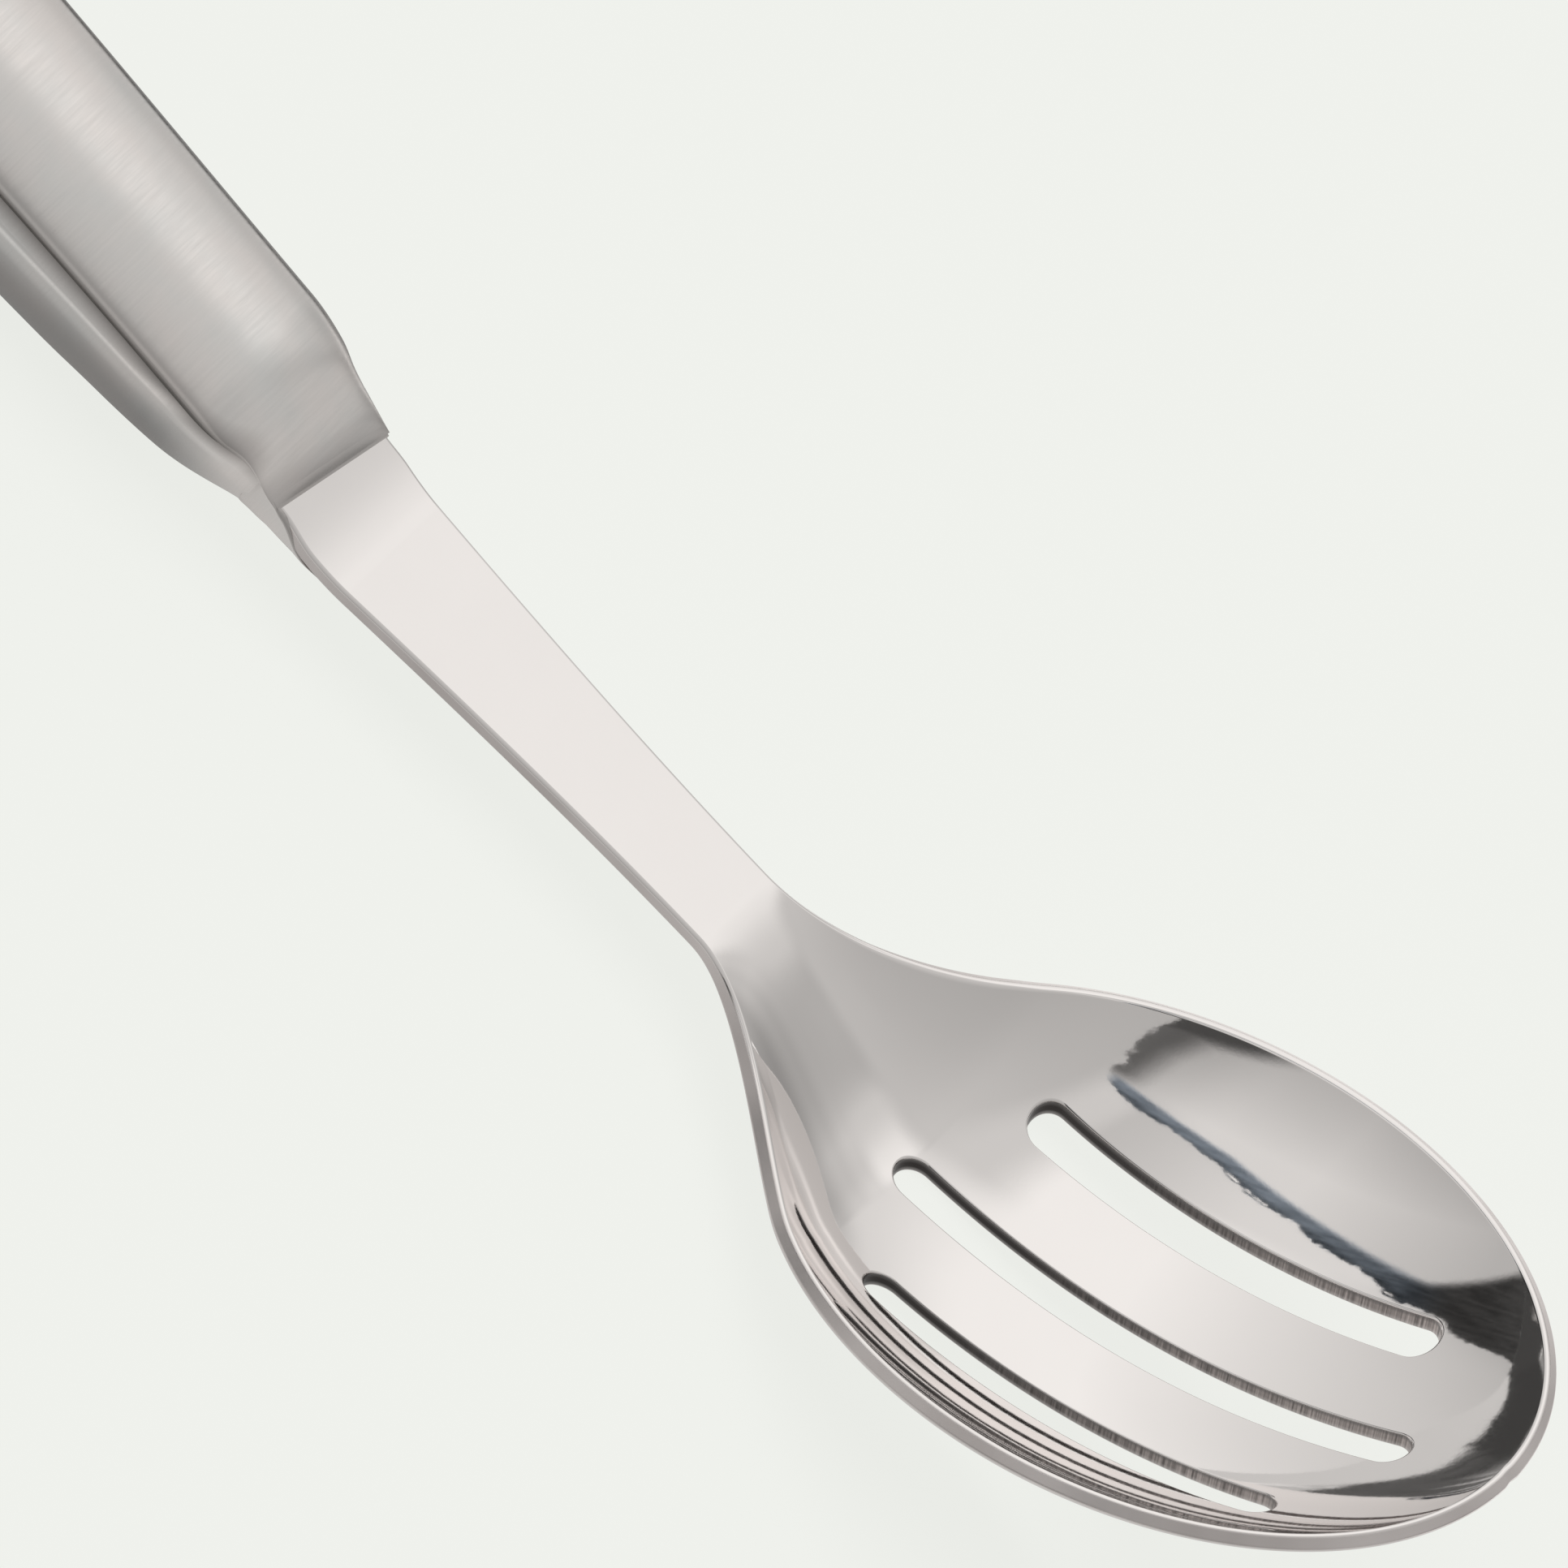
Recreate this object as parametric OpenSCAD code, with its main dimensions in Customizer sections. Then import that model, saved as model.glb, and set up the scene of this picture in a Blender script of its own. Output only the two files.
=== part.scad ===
// Slotted serving spoon, lying on a table as it rests: its bowl's heel and the
// handle's belly touch z = 0. X runs along the spoon, with the bowl's tip at +X,
// and the origin is midway along it. A pressed sheet makes the bowl and the neck,
// and two formed shells, welded along their seam, make the hollow handle.

/* [Overall] */
// Length from the bowl's tip to the end of the handle
spoon_l = 300; // [280:1:330]
// Length of the handle from its nose to its end
handle_l = 144; // [130:1:160]
// Angle between the bowl's rim and the table, in degrees
bowl_pitch = 23.4; // [21:0.1:25]

/* [Bowl] */
// Width of the bowl across the outside of its rim
bowl_w = 65.5; // [60:0.5:72]
// Length of the ellipse that the rim follows
bowl_l = 84.4; // [80:0.1:90]
// Depth from the rim's lower edge to the inner floor
bowl_depth = 12; // [10:0.5:14]
// Thickness of the pressed sheet
sheet_t = 1.8; // [1.4:0.1:2.2]
// How far the deepest point lies behind the middle of the bowl
deepest_back = 3.5; // [0:0.5:6]
// How far behind the middle the floor turns up into the heel
heel_back = 29; // [26:0.5:30]
// How far behind the middle the rim starts to rise to the neck
rim_back = 29; // [27:0.5:31]
// How far behind the middle the heel runs out into the neck
neck_back = 54; // [51:0.5:57]
// Height of the neck's start above the rim's plane
neck_rise = 13; // [11:0.1:15]

/* [Slots] */
// Width of each slot
slot_w = 4.7; // [4.3:0.1:6]
// Distance between the middle lines of neighbouring slots
slot_pitch = 14.6; // [13:0.1:16]
// Length of the middle slot
middle_slot_l = 61; // [54:0.5:64]
// Length of each side slot
side_slot_l = 48.5; // [40:0.5:52]
// How far the middle of the slots lies ahead of the middle of the bowl
slot_ahead = 0.2; // [0:0.1:2]

/* [Neck] */
// Width of the neck behind the bowl
neck_w = 12.1; // [10:0.1:14]
// Width of the neck where the handle begins
root_w = 18.2; // [16.5:0.1:19.5]
// How far ahead of the handle the neck starts to bend up
root_run = 14; // [12:0.5:16]
// How far the neck has bent up where the handle is at its full height
bend_rise = 3.8; // [3:0.1:4.6]
// Width of the tang inside the handle
tang_w = 15; // [12:0.1:15.6]
// Length of the tang inside the handle
tang_l = 34; // [20:1:50]

/* [Handle] */
// Thickness of the two formed shells
shell_t = 1; // [0.8:0.1:1.2]
// Width of the handle across its seam, a hand's breadth behind the nose
seam_w = 21; // [20.2:0.1:23]
// Width of the handle across its belly
belly_w = 23.6; // [23.4:0.1:27]
// Height of the seam above the table where the handle arches highest
arch_z = 20; // [18:0.5:22]
// Height of the seam above the table at the end
end_z = 15.5; // [14:0.5:17]
// Height of the upper shell above the seam
crown_h = 4.6; // [4:0.1:6]
// Height of the underside above the table at the nose
nose_under_z = 6.2; // [5.6:0.1:6.8]
// Height of the underside above the table at the end
end_under_z = 6; // [5:0.1:7]
// How far the upper shell laps over the neck ahead of the nose
top_lap = 3.5; // [2.5:0.1:4.5]
// Height of the upper shell's front edge above the neck
top_lip = 0.7; // [0.6:0.1:0.9]
// Height of the rolled lip that meets the seam from below
seam_lip = 3.2; // [2.6:0.1:3.8]
// Length over which the end of the handle is rounded
end_r = 12; // [10:0.5:14]

/* [Welds] */
// How far the bead along the seam stands out of its groove
seam_bead = 0.3; // [0.2:0.05:0.4]
// Height of the bead between the neck and the upper shell
nose_bead = 0.5; // [0.3:0.05:0.6]
// Thickness of the weld's edge under the neck, beside the nose
root_side = 2.4; // [2:0.1:3]

/* [Hanging hole] */
// Diameter of the hole through the handle
hole_d = 6; // [5:0.5:7]
// Wall of the sleeve that lines the hole
sleeve_t = 1; // [0.8:0.1:1.4]
// Distance from the end of the handle to the middle of the hole
hole_from_end = 13; // [12:0.5:16]
// How far the sleeve stands out of both shells
sleeve_proud = 0.4; // [0.2:0.1:0.6]

/* [Hidden] */
$fn = 64;
// Cuts run this far past the faces that they open
overrun = 5;

// Powers of the rounded cross-sections
bowl_share = 2.7;
top_share = 2.4;
belly_share = 2.2;
nose_share = 3.2;
weld_share = 1.4;
// Powers that draw the points of a section towards the seam
top_spread_share = 1.2;
belly_spread_share = 2;
// The upper shell turns hollow where its crown is this many times its thickness
hollow_share = 1.3;
// Where the rim's ellipse gives way to the curve into the neck, of its half-length
ellipse_share = 0.77;
// How much of each end's roundness is kept, so that no face shrinks to a point
tip_share = 0.999;
end_share = 0.97;
// Slopes of the side profiles
root_slope_share = 0.07;
seam_slope_share = 0.1;
end_slope_share = 0.14;
under_slope_share = 0.48;
under_end_slope_share = 0.1;
nose_w_slope_share = 0.2;
top_slope_share = 0.12;

// Places along the handle, as shares of its length behind the nose
bend_end = handle_l * 5 / 144;
full_w_at = handle_l * 10 / 144;
belly_w_at = handle_l * 22 / 144;
touch_at = handle_l * 27 / 144;
lift_at = handle_l * 33 / 144;
arch_at = handle_l * 88 / 144;
// Widths of the hidden rear half, as shares of the width at the seam
arch_w_share = 1.1;
end_w_share = 0.92;

// Counts of rows and columns in the curved faces
columns = 24;
heel_rows = 9;
bowl_rows = 26;
neck_rows = 5;
root_rows = 8;
body_rows = 12;
end_rows = 7;
arc_cols = 10;

// A curve from a to b as t runs from 0 to 1, leaving and arriving with the slopes
// sa and sb, which are given over the whole run
function hermite(t, a, b, sa, sb) =
    a * (1 - 3 * t * t + 2 * t * t * t) + b * (3 * t * t - 2 * t * t * t)
    + sa * (t - 2 * t * t + t * t * t) + sb * (t * t * t - t * t);
function unit(v) = v / norm(v);

// The bowl in its own frame: the rim's lower edge is the plane z = 0, x runs to the
// tip and the origin is at the middle of the rim's ellipse
rim_lean = atan(bowl_share * bowl_depth / (bowl_w / 2));
tip_lean = atan(2 * bowl_depth / (bowl_l / 2 + deepest_back));
in_w = bowl_w / 2 - sheet_t * sin(rim_lean);
in_l = bowl_l / 2 - sheet_t * sin(tip_lean);
edge_h = sheet_t * cos(rim_lean);
neck_slope = -tan(bowl_pitch);

function parabola_z(x) = -bowl_depth
    + (edge_h + bowl_depth) * pow((x + deepest_back) / (in_l + deepest_back), 2);
function parabola_slope(x) = 2 * (edge_h + bowl_depth) * (x + deepest_back)
    / pow(in_l + deepest_back, 2);
heel_run = neck_back - heel_back;
rim_run = neck_back - rim_back;
function floor_z(x) = x >= -heel_back ? parabola_z(x)
    : hermite((-heel_back - x) / heel_run, parabola_z(-heel_back), neck_rise,
              -parabola_slope(-heel_back) * heel_run, -neck_slope * heel_run);
function edge_z(x) = x >= -rim_back ? edge_h
    : hermite((-rim_back - x) / rim_run, edge_h, neck_rise, 0, -neck_slope * rim_run);

ellipse_back = in_l * ellipse_share;
fillet_run = neck_back - ellipse_back;
function ellipse_w(x) = in_w * sqrt(1 - pow(x / in_l, 2));
ellipse_slope = pow(in_w / in_l, 2) * ellipse_back / ellipse_w(ellipse_back);
function bowl_half_w(x) = x >= -ellipse_back ? ellipse_w(x)
    : hermite((-ellipse_back - x) / fillet_run, ellipse_w(ellipse_back), neck_w / 2,
              -ellipse_slope * fillet_run, 0);

function tilted(p) = [p[0] * cos(bowl_pitch) - p[2] * sin(bowl_pitch), p[1],
                      p[0] * sin(bowl_pitch) + p[2] * cos(bowl_pitch)];
function bowl_row(x) = [for (j = [0 : columns])
    let (u = 2 * j / columns - 1, w = bowl_half_w(x))
    tilted([x, u * w, floor_z(x) + (edge_z(x) - floor_z(x)) * pow(abs(u), bowl_share)])];

tip_angle = asin(tip_share);
back_angle = asin(ellipse_share);
bowl_xs = concat(
    [for (i = [0 : heel_rows - 1]) -neck_back + fillet_run * i / heel_rows],
    [for (i = [0 : bowl_rows])
        in_l * sin(-back_angle + (tip_angle + back_angle) * i / bowl_rows)]);
bowl_grid = [for (x = bowl_xs) bowl_row(x)];

// The lower face is the upper one moved along its normals by the sheet's thickness
function normal_at(g, i, j) =
    let (n = len(g) - 1, m = len(g[0]) - 1)
    unit(cross(g[min(i + 1, n)][j] - g[max(i - 1, 0)][j],
               g[i][min(j + 1, m)] - g[i][max(j - 1, 0)]));
function lowered(g, t) = [for (i = [0 : len(g) - 1]) [for (j = [0 : len(g[0]) - 1])
    g[i][j] - t * normal_at(g, i, j)]];

// Moves the tilted bowl so that its heel stands on the table and its tip ends the
// spoon's length
bowl_under = lowered(bowl_grid, sheet_t);
bowl_tip_x = max([for (row = bowl_under) for (p = row) p[0]]);
bowl_lift = -min([for (row = bowl_under) for (p = row) p[2]]);
bowl_place = [spoon_l / 2 - bowl_tip_x, 0, bowl_lift];
neck_start = bowl_grid[0][0] + bowl_place;
neck_z = neck_start[2];

// The handle, measured by d, the distance behind its nose
nose_x = handle_l - spoon_l / 2;
nose_step = top_lap / 2;
bend_run = root_run + bend_end;
arch_run = arch_at - bend_end;
tail_run = handle_l - arch_at;
function seam_z(d) = d <= bend_end
    ? hermite((d + root_run) / bend_run, neck_z, neck_z + bend_rise,
              0, seam_slope_share * bend_run)
    : d <= arch_at
    ? hermite((d - bend_end) / arch_run, neck_z + bend_rise, arch_z,
              seam_slope_share * arch_run, 0)
    : hermite((d - arch_at) / tail_run, arch_z, end_z, 0, -end_slope_share * tail_run);
function under_z(d) = d <= touch_at
    ? hermite(d / touch_at, nose_under_z, 0, -under_slope_share * touch_at, 0)
    : d <= lift_at ? 0
    : hermite((d - lift_at) / (handle_l - lift_at), 0, end_under_z,
              0, under_end_slope_share * (handle_l - lift_at));
function seam_half_w(d) = d <= full_w_at
    ? hermite(max(d, 0) / full_w_at, root_w / 2, seam_w / 2,
              nose_w_slope_share * full_w_at, 0)
    : d <= arch_at
    ? hermite((d - full_w_at) / (arch_at - full_w_at), seam_w / 2,
              arch_w_share * seam_w / 2, 0, 0)
    : hermite((d - arch_at) / tail_run, arch_w_share * seam_w / 2,
              end_w_share * seam_w / 2, 0, 0);
function belly_half_w(d) = seam_half_w(d)
    + (belly_w - seam_w) / 2 * hermite(min(d / belly_w_at, 1), 0, 1, 0, 0);
function crown_z(d) = d <= full_w_at
    ? hermite((d + top_lap) / (full_w_at + top_lap), top_lip, crown_h,
              top_slope_share * (full_w_at + top_lap), 0)
    : crown_h;
function belly_power(d) = nose_share
    + (belly_share - nose_share) * hermite(min(d / belly_w_at, 1), 0, 1, 0, 0);
// How far the rounded end draws a section in, for a skin that lies in by off
function end_round(d, off) =
    let (s = max(d - handle_l + end_r, 0) / (end_r - off))
    sqrt(1 - pow(end_share * s, 2));

// Half cross-sections from seam to seam, in by off from the outer skin. Point k lies
// at an angle that the power spread draws closer to the seam.
function arc_angle(k, spread) = 90 - sign(k) * 90 * (1 - pow(1 - abs(k) / arc_cols, spread));
function top_arc(d, off) =
    let (e = end_round(d, off), w = (seam_half_w(d) - off) * e,
         h = (crown_z(d) > hollow_share * off ? crown_z(d) - off : 0) * e,
         q = 2 / top_share)
    [for (k = [-arc_cols : arc_cols])
        let (a = arc_angle(k, top_spread_share))
        h == 0 ? [nose_x - d, w * k / arc_cols, seam_z(d)]
        : [nose_x - d, sign(k) * w * pow(abs(cos(a)), q), seam_z(d) + h * pow(sin(a), q)]];
function belly_arc(d, off) =
    let (e = end_round(d, off), w = (belly_half_w(d) - off) * e,
         inset = (belly_half_w(d) - seam_half_w(d)) * e,
         h = (seam_z(d) - under_z(d) - off) * e, q = 2 / belly_power(d))
    [for (k = [-arc_cols : arc_cols])
        let (a = arc_angle(k, belly_spread_share),
             depth = h * pow(sin(a), q), lip = max(1 - depth / seam_lip, 0))
        [nose_x - d, sign(k) * (w * pow(abs(cos(a)), q) - inset * lip * lip),
         seam_z(d) - depth]];

// Stations from the front of a shell to its end, shortened by off at the end
nose_end = nose_step * 14;
function body_ds(off) = concat(
    [for (i = [1 : body_rows])
        nose_end + (handle_l - end_r - nose_end) * i / body_rows],
    [for (i = [1 : end_rows])
        handle_l - end_r + (end_r - off) * sin(90 * i / end_rows)]);
function shell_ds(first, off) = concat(
    [for (i = [first : 14]) nose_step * i], body_ds(off));

// Triangles between two rows or columns of points, numbered a, b and c, d
function quad(a, b, c, d) = [[a, b, c], [a, c, d]];
function flat_list(lists) = [for (l = lists) for (f = l) f];
function turned(faces, flip) = flip ? [for (f = faces) [f[2], f[1], f[0]]] : faces;
// Two grids of r rows and c points a row, joined along their long edges
function skin_faces(r, c) = flat_list(concat(
    [for (i = [0 : r - 2]) for (j = [0 : c - 2])
        quad(i * c + j, i * c + j + 1, (i + 1) * c + j + 1, (i + 1) * c + j)],
    [for (i = [0 : r - 2]) for (j = [0 : c - 2])
        quad((r + i) * c + j, (r + i + 1) * c + j, (r + i + 1) * c + j + 1,
             (r + i) * c + j + 1)],
    [for (i = [0 : r - 2])
        quad(i * c, (i + 1) * c, (r + i + 1) * c, (r + i) * c)],
    [for (i = [0 : r - 2])
        quad(i * c + c - 1, (r + i) * c + c - 1, (r + i + 1) * c + c - 1,
             (i + 1) * c + c - 1)]));
// Each half is cut along its own diagonals, so that none lies flat along the seam
function front_faces(r, c) = flat_list([for (j = [0 : c - 2])
    j < (c - 1) / 2 ? quad(r * c + j, r * c + j + 1, j + 1, j)
    : quad(j, r * c + j, r * c + j + 1, j + 1)]);
function back_faces(r, c) = flat_list([for (j = [0 : c - 2])
    quad((r - 1) * c + j, (r - 1) * c + j + 1, (2 * r - 1) * c + j + 1,
         (2 * r - 1) * c + j)]);
// The end wall of a shell, which closes the outer and the inner skin one by one
function wall_faces(r, c) = concat(
    [for (j = [1 : c - 2]) [(r - 1) * c, (r - 1) * c + j, (r - 1) * c + j + 1]],
    [for (j = [1 : c - 2])
        [(2 * r - 1) * c, (2 * r - 1) * c + j + 1, (2 * r - 1) * c + j]],
    quad((r - 1) * c, r * c - 1, 2 * r * c - 1, (2 * r - 1) * c));

module slab(upper, lower) {
    r = len(upper);
    c = len(upper[0]);
    polyhedron(points = flat_list(concat(upper, lower)),
               faces = concat(skin_faces(r, c), front_faces(r, c), back_faces(r, c)));
}
module shell(outer, inner, flip) {
    r = len(outer);
    c = len(outer[0]);
    polyhedron(points = flat_list(concat(outer, inner)),
               faces = turned(concat(skin_faces(r, c), front_faces(r, c),
                                     wall_faces(r, c)), flip));
}

// The neck's rows from the nose to the bowl, then the bowl's rows
neck_run = nose_x + root_run;
function neck_half_w(x) =
    let (t = (neck_start[0] - x) / (neck_start[0] - nose_x))
    hermite(t, neck_w / 2, root_w / 2, 0, root_slope_share * (neck_start[0] - nose_x));
function sheet_row(x, z) = [for (j = [0 : columns])
    [x, (2 * j / columns - 1) * neck_half_w(x), z]];
root_grid = [for (i = [0 : root_rows])
    let (d = -root_run * i / root_rows) sheet_row(nose_x - d, seam_z(d))];
neck_grid = [for (i = [1 : neck_rows - 1])
    sheet_row(neck_run + (neck_start[0] - neck_run) * i / neck_rows, neck_z)];
neck_top = concat(root_grid, neck_grid);
sheet_grid = concat(neck_top, [for (row = bowl_grid) [for (p = row) p + bowl_place]]);
sheet_under = concat([for (row = neck_top) [for (p = row) p - [0, 0, sheet_t]]],
                     [for (row = bowl_under) [for (p = row) p + bowl_place]]);

module slot(l, y) {
    straight = l - slot_w;
    translate([slot_ahead, y, -bowl_depth - sheet_t - overrun])
        linear_extrude(height = 2 * bowl_depth + sheet_t + 2 * overrun) {
            square([straight, slot_w], center = true);
            for (side = [-1, 1])
                translate([side * straight / 2, 0]) circle(d = slot_w);
        }
}

// The tang follows the seam between the shells
tang_ds = concat([for (i = [0 : floor(tang_l / nose_step) - 1]) nose_step * i], [tang_l]);
module tang() {
    top = [for (i = [len(tang_ds) - 1 : -1 : 0]) [for (side = [-1, 1])
        [nose_x - tang_ds[i], side * tang_w / 2, seam_z(tang_ds[i])]]];
    slab(top, [for (row = top) [for (p = row) p - [0, 0, sheet_t]]]);
}

module bowl_and_neck() {
    color("silver") union() {
        difference() {
            slab(sheet_grid, sheet_under);
            translate(bowl_place) rotate([0, -bowl_pitch, 0]) {
                slot(middle_slot_l, 0);
                for (side = [-1, 1])
                    slot(side_slot_l, side * slot_pitch);
            }
        }
        tang();
    }
}

hole_x = hole_from_end - spoon_l / 2;
sleeve_r = hole_d / 2 + sleeve_t;
hole_d_behind = nose_x - hole_x;
sleeve_low = under_z(hole_d_behind) - sleeve_proud;
sleeve_high = seam_z(hole_d_behind) + crown_z(hole_d_behind) + sleeve_proud;

module sleeve_cut() {
    translate([hole_x, 0, sleeve_low - overrun])
        cylinder(r = sleeve_r, h = sleeve_high - sleeve_low + 2 * overrun);
}

module handle_top_shell() {
    color("darkgray") difference() {
        shell([for (d = shell_ds(-2, 0)) top_arc(d, 0)],
              [for (d = shell_ds(-2, shell_t)) top_arc(d, shell_t)], true);
        sleeve_cut();
    }
}

module handle_bottom_shell() {
    color("gray") difference() {
        shell([for (d = shell_ds(0, 0)) belly_arc(d, 0)],
              [for (d = shell_ds(0, shell_t)) belly_arc(d, shell_t)], false);
        sleeve_cut();
    }
}

// One ring of the bead: the seam, the upper shell's next point, the bead's crest and
// the lower shell's next point
function bead_ring(d, side) =
    let (j = side < 0 ? 0 : 2 * arc_cols, k = side < 0 ? 1 : 2 * arc_cols - 1,
         s = top_arc(d, 0)[j])
    [s, top_arc(d, 0)[k], s + [0, side * seam_bead, 0], belly_arc(d, 0)[k]];
// Its faces against the shells are cut along the same diagonals as theirs
function bead_quad(i, k, side) =
    let (a = 4 * i + k, b = 4 * i + (k + 1) % 4,
         turn = (k == 0 && side > 0) || (k == 3 && side < 0))
    turn ? quad(b, b + 4, a + 4, a) : quad(a, b, b + 4, a + 4);

module seam_weld() {
    ds = [for (i = [1 : 14]) nose_step * i];
    weld_ds = concat(ds, [for (i = [1 : body_rows])
        nose_end + (handle_l - end_r - nose_end) * i / body_rows]);
    n = len(weld_ds);
    color("dimgray") for (side = [-1, 1])
        polyhedron(
            points = flat_list([for (d = weld_ds) bead_ring(d, side)]),
            faces = turned(flat_list(concat(
                [for (i = [0 : n - 2]) for (k = [0 : 3]) bead_quad(i, k, side)],
                [quad(3, 2, 1, 0), quad(4 * n - 4, 4 * n - 3, 4 * n - 2, 4 * n - 1)])),
                side > 0));
}

module nose_weld() {
    // Under the neck, the weld grows from a feather edge to the lower shell's nose
    nose_depth = seam_z(0) - under_z(0);
    function weld_depth(u) = max(root_side,
        nose_depth * pow(1 - pow(abs(u), nose_share), 1 / nose_share) - sheet_t);
    root_under = [for (i = [0 : root_rows - 1]) sheet_under[i]];
    weld_under = [for (i = [0 : root_rows - 1]) [for (j = [0 : columns])
        root_under[i][j] - [0, 0, weld_depth(2 * j / columns - 1)
                            * pow(1 - i / root_rows, weld_share)]]];
    color("dimgray") slab(root_under, weld_under);
    // On the neck, a bead lies along the upper shell's front edge
    bead_back = nose_x + top_lap;
    bead_front = bead_back + nose_step;
    color("dimgray") rotate([90, 0, 0])
        linear_extrude(height = root_w - 2 * shell_t, center = true)
            polygon([[bead_back, seam_z(-top_lap)],
                     [bead_front, seam_z(-top_lap - nose_step)],
                     [bead_back, seam_z(-top_lap) + nose_bead]]);
}

module hanging_sleeve() {
    color("silver") translate([hole_x, 0, sleeve_low]) difference() {
        cylinder(r = sleeve_r, h = sleeve_high - sleeve_low);
        translate([0, 0, -overrun])
            cylinder(d = hole_d, h = sleeve_high - sleeve_low + 2 * overrun);
    }
}

bowl_and_neck();
handle_top_shell();
handle_bottom_shell();
seam_weld();
nose_weld();
hanging_sleeve();
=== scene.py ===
import bpy
import numpy as np
from mathutils import Matrix

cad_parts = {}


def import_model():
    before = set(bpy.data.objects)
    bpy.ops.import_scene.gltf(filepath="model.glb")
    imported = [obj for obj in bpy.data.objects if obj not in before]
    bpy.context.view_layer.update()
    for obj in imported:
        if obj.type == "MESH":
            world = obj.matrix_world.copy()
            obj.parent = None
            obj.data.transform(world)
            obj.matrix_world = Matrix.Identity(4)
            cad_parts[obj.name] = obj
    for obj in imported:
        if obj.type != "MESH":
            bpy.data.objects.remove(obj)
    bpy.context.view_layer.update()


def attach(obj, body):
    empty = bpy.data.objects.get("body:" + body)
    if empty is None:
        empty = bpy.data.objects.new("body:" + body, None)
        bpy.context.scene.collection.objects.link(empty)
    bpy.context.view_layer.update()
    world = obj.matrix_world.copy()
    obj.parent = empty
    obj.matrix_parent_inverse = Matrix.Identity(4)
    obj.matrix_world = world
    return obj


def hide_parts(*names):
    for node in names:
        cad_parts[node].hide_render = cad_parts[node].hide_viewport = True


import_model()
mm = 0.001
join = np.concatenate
print("scene: frame loaded")

# Sizes of the part's source, in millimetres and degrees
spoon = {
    "length": 300, "handleLength": 144, "bowlPitch": 23.4,
    "bowlWidth": 65.5, "bowlLength": 84.4, "bowlDepth": 12, "sheet": 1.8,
    "deepestBack": 3.5, "heelBack": 29, "rimBack": 29, "neckBack": 54, "neckRise": 13,
    "neckWidth": 12.1, "rootWidth": 18.2, "rootRun": 14, "bendRise": 3.8,
    "shell": 1, "seamWidth": 21, "bellyWidth": 23.6, "archZ": 20, "endZ": 15.5,
    "crown": 4.6, "noseUnderZ": 6.2, "endUnderZ": 6, "topLap": 3.5, "topLip": 0.7,
    "seamLip": 3.2, "endRound": 12,
    "bowlPower": 2.7, "topPower": 2.4, "bellyPower": 2.2, "nosePower": 3.2,  # roundness
    "ellipseShare": 0.77,
}


def hermite(t, a, b, sa, sb):
    # A cubic from a to b over t = 0 to 1, with end slopes sa and sb
    return (a * (1 - 3 * t**2 + 2 * t**3) + b * (3 * t**2 - 2 * t**3)
            + sa * (t - 2 * t**2 + t**3) + sb * (t**3 - t**2))


def smooth(t):
    # From 0 to 1, level at both ends
    t = np.clip(t, 0, 1)
    return t * t * (3 - 2 * t)


def unit(v):
    # Each vector over its own length
    return v / np.maximum(np.linalg.norm(v, axis=-1, keepdims=True), 1e-12)


def slopeOf(f, x):
    # The difference over a short step
    return (f(x + 1e-4) - f(x - 1e-4)) / 2e-4


def addObject(name, data):
    thing = bpy.data.objects.new(name, data)
    bpy.context.scene.collection.objects.link(thing)
    return thing


def flatten(*grids):
    # The vectors of some grids in one list
    return join([np.reshape(grid, (-1, 3)) for grid in grids])


def meshObject(name, points, faces):
    # Triangles, given by their three point numbers
    corners = np.asarray(faces, np.int32).ravel()
    points = np.asarray(points, np.float32).ravel()
    mesh = bpy.data.meshes.new(name)
    mesh.vertices.add(len(points) // 3)
    mesh.vertices.foreach_set("co", points)
    mesh.loops.add(len(corners))
    mesh.loops.foreach_set("vertex_index", corners)
    mesh.polygons.add(len(corners) // 3)
    mesh.polygons.foreach_set("loop_start", np.arange(0, len(corners), 3, dtype=np.int32))
    mesh.polygons.foreach_set("use_smooth", np.ones(len(corners) // 3, bool))
    mesh.update(calc_edges=True)
    return addObject(name, mesh)


def makePiece(name, points, faces, normals, material, node, marks=None):
    # Keeps the used points and drops faces with two corners in one place
    points, faces = (points * mm).astype(np.float32), np.asarray(faces).reshape(-1, 3)
    sides = points[faces] - points[np.roll(faces, 1, 1)]
    faces = faces[(sides != 0).any(-1).all(-1)]
    used, where = np.unique(faces, return_inverse=True)
    piece = meshObject(name, points[used], where)
    mesh = piece.data
    if normals is not None:
        mesh.normals_split_custom_set_from_vertices(unit(normals[used]).tolist())
    for key, values in (marks or {}).items():
        layer = mesh.attributes.new(key, "FLOAT", "POINT")
        layer.data.foreach_set("value", values[used].astype(np.float32))
    mesh.materials.append(material)
    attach(piece, "root")
    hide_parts(node)
    print("scene:", name, len(faces), "triangles")


def quads(a, b, c, d):
    # Two triangles for each four corners, given as arrays of point numbers
    return np.stack([a, b, c, a, c, d], -1).reshape(-1, 3)


def ringIndex(n, m):
    # Numbers of n rows of m points, with the first column again at the end
    index = np.arange(n * m).reshape(n, m)
    return join([index, index[:, :1]], 1)


def gridQuads(index):
    # Faces between neighbouring rows and columns
    return quads(index[:-1, :-1], index[:-1, 1:], index[1:, 1:], index[1:, :-1])


def gridNormals(p):
    # The normal is the cross product of the steps along the rows and the columns
    return unit(np.cross(np.gradient(p, axis=0), np.gradient(p, axis=1)))


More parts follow.
